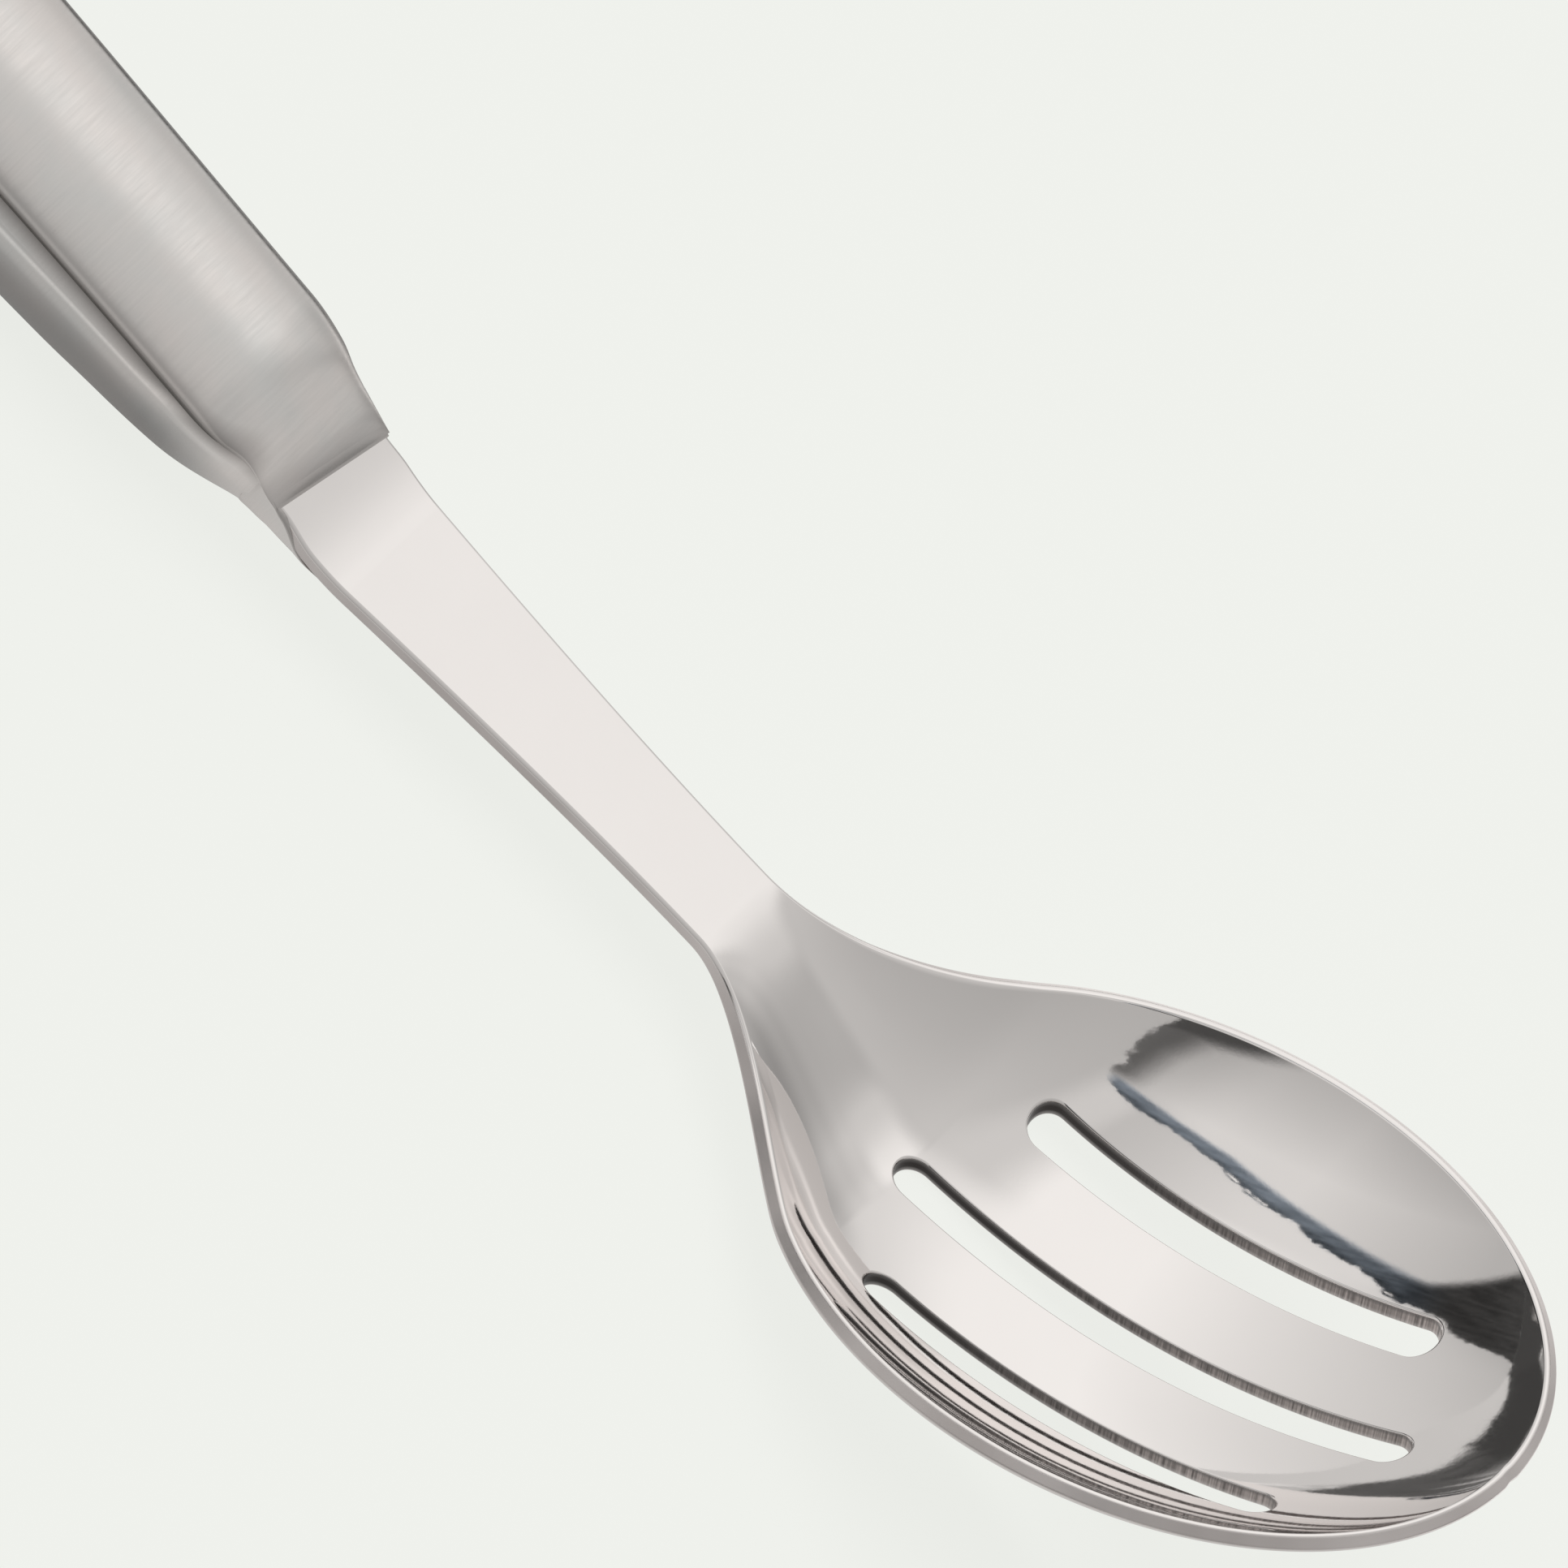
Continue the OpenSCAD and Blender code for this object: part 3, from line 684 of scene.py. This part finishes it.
ring = edge - away * reach * (1 - np.sin(turn)) - edgeN * down
ringN = edgeN * np.cos(turn) + away * np.sin(turn)
strip = addRings(ring, ringN, rimLoop, rimLoop + count, False, False, "rimFace",
                 [0, 0, 0.1, 0.6, 1, 1, 1, 1, 1, 0.5, 0, 0])
# The tang's end
endRow = index[0]
faces.append(quads(endRow[:-1], endRow[1:], endRow[1:] + count, endRow[:-1] + count))
for k, flip in ((0, False), (-1, True)):
    ends = strip[1:, k]
    fan = np.stack([strip[0, k] + 0 * ends[1:], ends[:-1], ends[1:]], -1)
    faces.append(fan[:, ::-1] if flip else fan)
makePiece("bowlAndNeck", join(points), join(faces), join(normals),
          mirror, "bowl_and_neck",
          {key: join(value) for key, value in marks.items()})

# Handle shells: an outer and an inner skin in rows along the handle, with a rolled
# edge along the seam and a round hole for the sleeve
handle = {"roll": 0.55, "rollHeight": 1.0, "columns": 64, "holeX": -137.0, "holeRadius": 4.1,
          "holeSnap": 0.6, "holeBlend": 9.0, "holeMargin": 1.5, "fineTo": 20,
          "footShadeDepth": 0.42, "footRun": 3.0, "slopeShadeDepth": 0.12, "shadeAbove": 2.0, "shadeBelow": 0.7}


def stations(firstD, off):
    # Rows close to each other near the nose, round the hole and at the end
    hole, a = noseX - handle["holeX"], handle["holeRadius"] + handle["holeMargin"]
    fine = handle["fineTo"]
    return join([
        np.linspace(firstD, fine, 110)[:-1], np.linspace(fine, hole - a, 110)[:-1],
        np.linspace(hole - a, hole + a, 23)[:-1],
        hole + a + (handleL - off - hole - a) * np.sin(np.linspace(0, np.pi / 2, 24))])


def section(d, off, upper):
    # Half a superellipse above or below the seam, with the lip and the rolled edge
    angle = np.linspace(-np.pi / 2, np.pi / 2, handle["columns"] + 1)
    d = d[:, None] + 0 * angle
    side, tall = np.sin(angle), np.cos(angle)
    tall[[0, -1]] = 0
    if upper:
        flat, y = d, 0 * d
        rolled = np.minimum(rampZ(flat) / s["crown"], 1) * smooth((flat + 2) / 8)
        for _ in range(4):
            d = skewed(flat, y)
            e = endRoundAt(d, off)
            h = np.maximum(rampZ(flat) - off, 0) * e
            z = h * tall**(2 / s["topPower"])
            y = (topHalfW(d) - off) * e * np.sign(side) * np.abs(side)**(2 / s["topPower"])
            drawn = pinch(d) + (handle["roll"] * rolled if off == 0 else 0)
            rollH = (handle["rollHeight"] * rolled + 1.4 * pinch(d)) * e + 1e-6
            y = y - np.sign(side) * drawn * e * np.clip(1 - z / rollH, 0, 1)**2
        z = seamZ(d) + z
    else:
        e = endRoundAt(d, off)
        q = 2 / bellyPowerAt(d)
        w = (bellyHalfW(d) - off) * e
        h = (seamZ(d) - underZ(d) - off) * e
        depth = h * tall**q
        inset = (bellyHalfW(d) - seamHalfW(d)) * e
        y = w * np.abs(side)**q - inset * np.clip(1 - depth / s["seamLip"], 0, 1)**2
        if off == 0:
            low = np.clip(1 - depth / handle["rollHeight"], 0, 1)
            y = y - handle["roll"] * e * smooth(d / 6) * low**2
        y = np.sign(side) * y
        z = seamZ(d) - depth
    return np.stack([noseX - d, y, z], -1)


def skinZ(x, y, upper, off):
    # Height of a skin at a place near the hole
    d = noseX - x
    e = endRoundAt(d, off)
    w, h, q = (seamHalfW(d) - off) * e, (crownZ(d) - off) * e, s["topPower"]
    if not upper:
        w, h, q = (bellyHalfW(d) - off) * e, (seamZ(d) - underZ(d) - off) * e, bellyPowerAt(d)
    rise = h * np.clip(1 - np.abs(y / np.maximum(w, 1e-6))**q, 0, 1)**(1 / q)
    return seamZ(d) + (rise if upper else -rise)


def footShade(rowD):
    # Painted shade: darker at the foot of the slope, and a little over the whole slope
    band = np.clip(1 - (rowD + footAt) / handle["footRun"], 0, 1)**0.8
    return handle["footShadeDepth"] * band + handle["slopeShadeDepth"] * smooth((1 - rowD) / 3)


def makeShell(name, node, upper, firstD):
    # Two skins, joined along the seam, at the nose and round the hole
    dOut, dIn = stations(firstD, 0), stations(firstD, s["shell"])
    skins, skinNormals = [], []
    for d, off in ((dOut, 0), (dIn, s["shell"])):
        p = section(d, off, upper)
        p[-1] = [noseX - handleL + off, 0, seamZ(np.array(handleL - off))]
        n = gridNormals(p) * (-1 if upper else 1)
        n[-1] = [-1, 0, 0]
        skins.append(p)
        skinNormals.append(n if off == 0 else -n)
    # Round the hole, points within a ring go to its circle and the ones beyond follow
    a, h, b = handle["holeRadius"], handle["holeSnap"], handle["holeBlend"]
    rel = skins[0][..., :2] - [handle["holeX"], 0]
    far = np.linalg.norm(rel, axis=-1)
    to = np.where(far > a + h, a + (far - a - h) * (b - a) / (b - a - h), a)
    moved = rel * (to / np.maximum(far, 1e-9))[..., None] + [handle["holeX"], 0]
    near = far < b
    for p, off in zip(skins, (0, s["shell"])):
        z = skinZ(moved[..., 0], moved[..., 1], upper, off)
        p[near] = join([moved, z[..., None]], -1)[near]
    inHole = (far <= a + h).ravel()
    n, m = skins[0].shape[:2]
    index = np.arange(n * m).reshape(n, m)
    index[-1] = index[-1, 0]
    skin = gridQuads(index)
    gone = inHole[skin].all(-1)
    ends = np.stack([skin, np.roll(skin, -1, 1)], -1)
    kept, lost = ends[~gone].reshape(-1, 2), ends[gone].reshape(-1, 2)
    shared = np.isin(kept[:, 0] * n * m + kept[:, 1], lost[:, 1] * n * m + lost[:, 0])
    u, v = kept[shared].T
    skin = skin[~gone]
    inside = index + n * m
    f = [skin, skin[:, ::-1] + n * m, quads(v, u, u + n * m, v + n * m),
         quads(index[:-1, 0], index[1:, 0], inside[1:, 0], inside[:-1, 0]),
         quads(index[1:, -1], index[:-1, -1], inside[:-1, -1], inside[1:, -1]),
         quads(index[0, 1:], index[0, :-1], inside[0, :-1], inside[0, 1:])]
    f = join(f)
    if not upper:
        f = f[:, ::-1]
    # Painted shade: darker close to the seam on both shells, and on the upper shell's slope down
    # to the neck
    flat = flatten(*skins)
    apart = np.abs(flat[:, 2] - seamZ(noseX - flat[:, 0]))
    side = smooth((np.abs(flat[:, 1]) - 5) / 3) * smooth((noseX - flat[:, 0] + 1) / 6)
    groove = np.clip(1.2 - apart / handle["shadeAbove" if upper else "shadeBelow"], 0, 1) * side
    if upper:
        rowD = join([dOut, dIn]).repeat(m)
        groove = np.maximum(groove, footShade(rowD))
    makePiece(name, flat, f, flatten(*skinNormals), brushed, node,
              {"groove": groove})


makeShell("handleTopShell", "handle_top_shell", True, -footAt)
makeShell("handleBottomShell", "handle_bottom_shell", False, 0.0)


def around(n, m, start=0):
    # A tube of n closed rows of m points, with a flat fan at each end
    index = ringIndex(n, m) + start
    j = np.arange(1, m - 1)
    fan = [np.stack([row[0] + 0 * j, row[j], row[j + 1]], -1) for row in (index[0], index[-1])]
    return join([gridQuads(index), fan[0][:, ::-1], fan[1]])


# Seam weld: a thin bead in the groove, round the whole handle
seam = {"radius": 0.34, "sink": 0.72, "from": 1.75, "endGap": 0.9, "sides": 12}
tail = s["endRound"] - seam["endGap"]
d = join([np.linspace(seam["from"], handleL - s["endRound"], 220)[:-1],
          handleL - s["endRound"] + tail * np.sin(np.linspace(0, np.pi / 2, 40))])
y = (seamHalfW(d) - seam["sink"]) * endRoundAt(d, seam["endGap"])
line = np.stack([noseX - d, y, seamZ(d)], -1)
line = join([line * mirrorY, line[-2::-1]])
along = unit(np.gradient(line, axis=0))
side = unit(np.cross(along, [0, 0, 1.0]))
up = np.cross(side, along)
turn = np.linspace(0, 2 * np.pi, seam["sides"] + 1)[:-1]
cosT, sinT = np.cos(turn)[:, None], np.sin(turn)[:, None]
tubeN = unit(side[:, None] * cosT + up[:, None] * sinT)
tube = line[:, None] + seam["radius"] * tubeN
makePiece("seamWeld", flatten(tube), around(*tube.shape[:2])[:, ::-1], flatten(tubeN),
          welded, "seam_weld")

# Nose weld: a block below the neck, which rises round the sheet's edges near the nose,
# and a thin fillet along the foot of the shell's slope
nose = {"side": 2.4, "fadePower": 2.4, "edge": 0.45, "edgeLess": 0.85, "clear": 0.06,
        "inset": 0.42, "fillet": 0.9, "lap": 0.25, "proud": 0.03, "filletClear": 0.3,
        "dull": 0.6}
d = np.linspace(-s["rootRun"], 0.4, 60)[:, None]
rise = smooth((d + 9) / 5)
w = (neckHalfW(noseX - d) - nose["clear"] - nose["inset"] * smooth((-8 - d) / 5)
     - finer["tuck"] * tuck(d))
top = seamZ(d) - s["sheet"] * (1 - rise) - nose["clear"]
depthAll = seamZ(np.array(0.0)) - underZ(np.array(0.0))
fade = ((np.minimum(d, 0) + s["rootRun"]) / s["rootRun"])**nose["fadePower"]
u = np.sin(np.linspace(-np.pi / 2, np.pi / 2, 61))
curve = depthAll * np.clip(1 - np.abs(u)**s["nosePower"], 0, 1)**(1 / s["nosePower"]) - s["sheet"]
keel = np.minimum(seamZ(d) - s["sheet"] - np.maximum(nose["side"], curve) * fade, top - 0.04)
corner = np.minimum(nose["edge"] * (1 - nose["edgeLess"] * smooth((d + 4) / 2)),
                    (top - keel[:, :1]) * 0.45)
bend = np.radians(np.linspace(0, 90, 6))
draw = np.maximum(pinch(d) - finer["tuck"] * tuck(d), 0)
yTop = -(w - draw - corner * (1 - np.sin(bend)))
zTop = top - corner * (1 - np.cos(bend))
t = np.linspace(0, 1, 8)[1:]
ySide = -(w - draw * (1 - t)**2)
zSide = (top - corner) * (1 - t) + (keel[:, :1] + corner * 0.5) * t
half = join([np.stack([yTop, zTop], -1), np.stack([ySide, zSide], -1)], 1)
floorLine = np.stack([u * (w - 0.15), keel], -1)
loop = join([half, floorLine, (half * [-1, 1])[:, ::-1]], 1)
wedge = join([noseX - d[..., None] + 0 * loop[..., :1], loop], -1)
step = np.roll(wedge, -1, 1) - np.roll(wedge, 1, 1)
wedgeN = unit(np.cross(np.gradient(wedge, axis=0), step))
n, m = wedge.shape[:2]
# Painted shade along the block's top edges beside the nose
topEdgeShade = np.zeros((n, m))
topEdgeShade[:, :5] = topEdgeShade[:, -5:] = nose["dull"] * smooth((d + 12) / 3) * smooth(-d / 4)

# The fillet lies over the slope's foot, a hair proud in its middle
t = np.linspace(0, 1, 14)[:, None]
u = np.sin(np.linspace(-np.pi / 2, np.pi / 2, 61))
flat = -footAt - nose["lap"] + t * (nose["fillet"] + nose["lap"])
y = 0 * u * t
for _ in range(4):
    d = skewed(flat, y)
    y = u * (topHalfW(d) - nose["filletClear"])
swell = nose["proud"] * np.sin(np.pi * t)
high = np.where(flat < -footAt, 0, rampZ(flat)) + 0 * u
high *= np.clip(1 - np.abs(y / topHalfW(d))**s["topPower"], 0, 1)**(1 / s["topPower"])
high += swell
lid = np.stack([noseX - d, y, seamZ(d) + high], -1)
foot = np.stack([noseX - d, y, seamZ(d) - nose["lap"] + 0 * high], -1)
ring = join([lid, foot[:, ::-1]], 1)
lidN = gridNormals(lid) * -1
ringN = join([lidN, 0 * foot - [0, 0, 1]], 1)
# Painted shade over the fillet, as on the foot of the slope
lidShade = join([footShade(flat) + 0 * y, 0 * y], 1)
makePiece("noseWeld", flatten(wedge, ring),
          join([around(n, m)[:, ::-1], around(*ring.shape[:2], n * m)]),
          flatten(wedgeN, ringN), brushed, "nose_weld",
          {"groove": join([topEdgeShade.ravel(), lidShade.ravel()])})

# Hanging sleeve: a tube whose lips roll out over both shells
sleeve = {"bore": 3.0, "wall": 1.0, "lip": 0.5, "lipHeight": 0.6, "neck": 1.0, "proud": 0.4}
hx = np.array(noseX - handle["holeX"])
zTop = float(seamZ(hx) + crownZ(hx)) + sleeve["proud"]
zLow = float(underZ(hx)) - sleeve["proud"]
a = np.linspace(0, np.pi, 13)
rHalf = (sleeve["wall"] + sleeve["lip"]) / 2
capR, capZ = sleeve["bore"] + rHalf - rHalf * np.cos(a), sleeve["lipHeight"] * np.sin(a)
radius = join([capR, [sleeve["bore"] + sleeve["wall"]] * 2, capR[::-1]])
height = join([zTop - sleeve["lipHeight"] + capZ,
               [zTop - sleeve["neck"], zLow + sleeve["neck"]],
               zLow + sleeve["lipHeight"] - capZ[::-1]])
turn = np.linspace(0, 2 * np.pi, 97)[:-1]
radius = radius[:, None]
ring = np.stack([handle["holeX"] + radius * np.cos(turn), radius * np.sin(turn),
                 height[:, None] + 0 * turn], -1)
index = ringIndex(*ring.shape[:2])
index = join([index, index[:1]], 0)
makePiece("hangingSleeve", flatten(ring), gridQuads(index)[:, ::-1], None, mirror,
          "hanging_sleeve")

# Stage: floor, what the steel mirrors, a soft lamp and the camera
stage = {"pale": (0.855, 0.871, 0.831), "paint": (0.9, 0.9, 0.88), "floorShadow": 0.08,
         "floorHalf": 9, "floorZ": -0.0002, "domeRadius": 8, "cardZ": -0.1,
         "steel": (0.92, 0.89, 0.88), "lampPower": 40, "lampSize": 2.0, "lampHeight": 2.5}


def mirrored(name, points, faces, tones):
    # A surface that only shows in the steel, with its own painted light
    thing = meshObject(name, points, faces)
    layer = thing.data.attributes.new("tone", "FLOAT_COLOR", "POINT")
    rgba = join([tones, np.ones((*tones.shape[:-1], 1))], -1)
    layer.data.foreach_set("color", rgba.astype(np.float32).ravel())
    material, tree, shader = newMaterial(name)
    paint = addNode(tree, "ShaderNodeAttribute", attribute_name="tone").outputs["Color"]
    emit = addNode(tree, "ShaderNodeEmission", Strength=1.0, Color=paint)
    feed(tree, tree.nodes["Material Output"], {"Surface": emit.outputs[0]})
    material.cycles.emission_sampling = "NONE"
    thing.data.materials.append(material)
    thing.visible_camera = thing.visible_shadow = False
    return thing


def tint(level, warm=(1.004, 0.983, 0.967)):
    # The light that a picture's grey level needs on this steel
    return (np.asarray(level)[..., None] * np.array(warm) / 255)**2.2 / np.array(stage["steel"])


def toward(base, value, *shares):
    # From the base to the value by the product of the shares
    for share in shares[1:]:
        shares = (shares[0] * share,)
    return base + (value - base) * shares[0]


def after(value, edge, width):
    # 0 up to the edge, and 1 from a width beyond it
    return smooth((value - edge) / width)


def before(value, edge, width):
    # 1 up to a width short of the edge, and 0 from the edge on
    return smooth((edge - value) / width)


world = bpy.data.worlds.new("paleWorld")
bpy.context.scene.world = world
world.use_nodes = True
back = world.node_tree.nodes["Background"]
back.inputs["Color"].default_value = (*stage["pale"], 1)
back.inputs["Strength"].default_value = 1.0

corners = np.array([(-1, -1), (1, -1), (1, 1), (-1, 1)]) * stage["floorHalf"]
floor = meshObject("floor", np.column_stack([corners, [stage["floorZ"]] * 4]),
                   [(0, 1, 2), (0, 2, 3)])
floorMaterial, tree, shader = newMaterial("floorPaint", 0.0)
shader.inputs["Base Color"].default_value = (*stage["paint"], 1)
shader.inputs["Roughness"].default_value = 1.0
shader.inputs["Specular IOR Level"].default_value = 0.0
mix = addNode(tree, "ShaderNodeMixShader", Fac=stage["floorShadow"])
glow = addNode(tree, "ShaderNodeEmission", Color=(*stage["pale"], 1), Strength=1.0)
tree.links.new(glow.outputs[0], mix.inputs[1])
tree.links.new(shader.outputs[0], mix.inputs[2])
feed(tree, tree.nodes["Material Output"], {"Surface": mix.outputs[0]})
floor.data.materials.append(floorMaterial)

# The dome, seen from straight above: right and far are shares of a right angle
# away from the zenith, towards +X and +Y
az = np.radians(np.linspace(-180, 180, 1441))[:-1]
el = np.radians(join([np.linspace(-8, 20, 140)[:-1], np.linspace(20, 90, 300)]))
azGrid, elGrid = np.meshgrid(az, el)
ray = np.stack([np.sin(azGrid) * np.cos(elGrid), -np.cos(azGrid) * np.cos(elGrid),
                np.sin(elGrid)], -1)
away = 1 - elGrid / (np.pi / 2)
right, far = away * np.sin(azGrid), -away * np.cos(azGrid)


def ripple(a, b, seed):
    # Torn edges: a few waves of falling length
    r = np.random.default_rng(seed)
    total = 0 * a
    for k in range(7):
        f = 9 * 1.75**k
        u, _, w = r.uniform(-1, 1, 3)
        wave = f * (a * np.cos(3 * u) + b * np.sin(3 * u)) * 3
        total = total + np.sin(wave + 9 * w + 2 * np.sin(f * b)) / 1.45**k
    return total / 2.5


# Grey levels, up to 255, of what the steel sees in each direction
greys = {"left": 238, "middle": 212, "strip": 234, "near": 187, "nearLeft": 201, "between": 214,
         "below": 212, "streak": 112, "patch": 72, "handleDark": 54, "low": 158, "ahead": 184,
         "aheadLow": 140, "glint": 228.0, "cool": (0.93, 0.985, 1.05)}
jag = ripple(right, far, 4)
# Brightest left of the middle, falling off towards the handle's side
left = greys["left"] - 100 * np.clip(-right - 0.4, 0, 0.4)
left = left - 220 * np.clip(-right - 0.8, 0, 0.2) * (1 - 0.5 * smooth(far / 0.3))
level = toward(left, greys["middle"], after(right, -0.22, 0.2))
level = level - 14 * after(right, 0.02, 0.2) - 30 * after(right, 0.3, 0.15)
# A bright strip that the neck looks at
strip = after(right, -0.1, 0.12) * after(far, 0.33, 0.09) * before(far, 0.5, 0.06)
stripLevel = (greys["strip"] - 6 * after(right, 0.05, 0.1) - 30 * after(right, 0.12, 0.24)
              - 26 * after(right, 0.34, 0.09))
level = toward(level, stripLevel, strip)
# Grey over the camera's side of the bowl's floor, with a straight far edge
greyer = greys["near"] + 24 * np.clip(far, -0.8, 0.3) - 12 * smooth(right / 0.6)
level = toward(level, greys["nearLeft"], after(right, -0.22, 0.1), before(far, 0.42, 0.12),
               before(right, 0, 0.03))
level = toward(level, greyer, after(right, -0.1, 0.08), before(far, 0.41, 0.09))
# The streak, which starts wide at the handle's side and ends in the dark patch
sx = [-1.2, -0.95, -0.79, -0.60, -0.36, -0.10, -0.02]
sy = [0.00, -0.02, -0.05, -0.165, -0.28, -0.335, -0.36]
sw = [0.40, 0.30, 0.14, 0.085, 0.062, 0.045, 0.03]
centre, width = np.interp(right, sx, sy), np.interp(right, sx, sw)
between = greys["between"] - 26 * after(right, -0.5, 0.35)
level = toward(level, between, before(far, 0.02, 0.1), before(right, -0.12, 0.06))
below = greys["below"] - 130 * np.clip(-far - 0.37, 0, 0.3) - 90 * np.clip(-right - 0.5, 0, 0.4)
below = below - 30 * after(right, -0.3, 0.25)
level = toward(level, below, smooth((centre - far) / 0.03), before(right, -0.02, 0.03))
across = (far - centre) / (width / 2)
inStreak = (smooth((1 - across + 0.5 * jag) / 0.15) * after(across, -1.1, 0.8)
            * before(right, -0.05, 0.04))
depth = (greys["streak"] - 34 * after(across, 0.1, 0.7) - 34 * before(right, -0.45, 0.3)
         + 16 * ripple(3 * right, 5 * far, 9))
level = toward(level, depth, inStreak, 0.95)
# The dark patch at the streak's near end, sharp on its right, running left low down
side = right + 0.02 + 0.35 * (far + 0.5) * (far > -0.5)
torn = side + 0.03 * jag
reachIn = 0.03 + 0.3 * np.clip(-far - 0.38, 0, 0.3)
patch = smooth((reachIn + 0.05 + side) / 0.09) * before(far, -0.34, 0.05)
lower = smooth((-0.515 + 0.35 * right - far) / 0.045) * after(right, -0.34, 0.16)
level = toward(level, greys["patch"], before(torn, 0, 0.012), np.maximum(patch * 0.8, lower))
# Dark towards the handle, low down
upper = np.interp(right, [-1.0, -0.98, -0.86, -0.79, -0.74], [0.24, 0.22, 0.10, 0.0, -0.06])
lowest = np.interp(right, [-1.0, -0.95, -0.80], [-0.27, -0.25, -0.13])
dark = smooth((upper - far + 0.03 * jag) / 0.02) * smooth((far - lowest) / 0.06)
dim = greys["handleDark"] + 9 * ripple(2 * right, 6 * far, 3) + 8 * before(right, -0.93, 0.05)
level = toward(level, dim, dark, before(right, -0.73, 0.06))
# Low down beside the camera and ahead of the spoon, where only the handle looks
level = toward(level, greys["low"], before(far, -0.74, 0.1))
level = level - (10 * after(far, 0.5, 0.1) + 22 * after(far, 0.62, 0.2)) * after(right, -0.05, 0.1)
level = toward(level, greys["ahead"], after(right, 0.44, 0.06), after(far, 0.1, 0.2))
level = toward(level, greys["aheadLow"], after(right, 0.62, 0.14), after(far, -0.1, 0.3))
cool = inStreak * after(right, -0.86, 0.1)
tone = toward(tint(level), tint(level, greys["cool"]), cool[..., None])
glint = (jag > 0.6) & (across > 0.85) & (across < 1.1) & (right < -0.2) & (right > -0.75)
glint = glint * before(right, -0.1, 0.1)
tone = toward(tone, tint(greys["glint"]), glint[..., None])
mirrored("lightDome", ray * stage["domeRadius"], gridQuads(ringIndex(*azGrid.shape)), tone)

# What the steel mirrors instead of the floor, a painted reflection: darker beside the neck and
# behind it
cardGreys = {"open": 192, "farSide": 195, "dark": 62, "behind": 66, "nearSide": 160,
             "nearHandle": 116, "farHandle": 134, "nearNeck": 180}
az = np.linspace(0, 2 * np.pi, 361)[:-1]
reach = join([[0], np.geomspace(2, 7800, 220)])
x = 60 + reach[:, None] * np.cos(az)
y = reach[:, None] * np.sin(az)
torn = ripple(x / 90, y / 90, 6)
level = cardGreys["open"] + 40 * after(y, -10, 50) * after(x, -20, 80)
edgeY = np.interp(x, [-7900, -650, -300, -100, 0, 57, 90], [1900, 320, 262, 190, 124, 88, 70])
past = y - edgeY + 6 * torn
stripe = 26 * np.sin((y - edgeY) / 9 + 2 * torn) * before(past, 140, 60) * after(x, -85, 40)
level = toward(level, cardGreys["farSide"] + stripe, before(x, 70, 20), y > 0)
# Dark up to a slanting edge, with a dark tongue past it near the bowl
tongue = after(past, -4, 4) * smooth((34 + 6 * torn - past) / 5) * after(x, -75, 25)
dark = before(past, 0, 4) * before(x, 20, 30) + 0.85 * tongue
level = toward(level, cardGreys["dark"], np.clip(dark, 0, 1), before(x, 62, 6), after(y, 56, 10))
wake = smooth((0.27 * (140 - x) - np.abs(y)) / 40)
level = toward(level, cardGreys["behind"], before(x, -160, 20), wake)
# Shade close beside and below the handle and the neck
beside = after(x, -160, 14) * before(x, 14, 20)
level = toward(level, cardGreys["nearSide"], after(y, -70, 30), y < 0, beside)
level = toward(level, cardGreys["nearHandle"], after(y, -23, 11), y < 0, beside)
level = toward(level, cardGreys["farHandle"], before(y, 68, 12), y >= 0, beside)
level = toward(level, cardGreys["nearNeck"], after(y, -50, 14), before(y, 10, 8),
               before(x, 62, 20), after(x, -18, 16))
cardPoints = np.stack([x, y, 0 * x + stage["cardZ"]], -1) * mm
card = mirrored("floorGlow", cardPoints, gridQuads(ringIndex(*x.shape)), tint(level))
card.visible_diffuse = False

lampData = bpy.data.lights.new("softLamp", "AREA")
lampData.size = stage["lampSize"]
lampData.energy = stage["lampPower"]
lamp = addObject("softLamp", lampData)
lamp.location = (0.0, 0.0, stage["lampHeight"])
lamp.visible_glossy = lamp.visible_camera = False

view = {"azimuth": -1.0, "elevation": 51.6, "roll": 42.86, "distance": 4.0, "scale": 12.52,
        "centreX": 111.1, "pixelX": 1430, "pixelY": 1562, "size": 1932}
a, e, r = (np.radians(view[k]) for k in ("azimuth", "elevation", "roll"))
axis = np.array([np.cos(a), np.sin(a), 0])
rise = np.array([-np.sin(e) * np.sin(a), np.sin(e) * np.cos(a), np.cos(e)])
backward = np.array([np.cos(e) * np.sin(a), -np.cos(e) * np.cos(a), np.sin(e)])
right = np.sin(r) * axis + np.cos(r) * rise
upward = -np.cos(r) * axis + np.sin(r) * rise
offX, offY = ((view["size"] / 2 - view[k]) / view["scale"] for k in ("pixelX", "pixelY"))
aim = np.array([view["centreX"], 0, place[2]]) + offX * right - offY * upward
data = bpy.data.cameras.new("camera")
camera = addObject("camera", data)
data.lens = data.sensor_width * view["distance"] / (view["size"] / view["scale"] * mm)
data.clip_start, data.clip_end = 0.1, 30
spot = aim * mm + backward * view["distance"]
camera.matrix_world = Matrix([*zip(right, upward, backward, spot), (0, 0, 0, 1)])
bpy.context.scene.camera = camera
bpy.context.scene.view_settings.view_transform = "Standard"
print("scene: stage made")
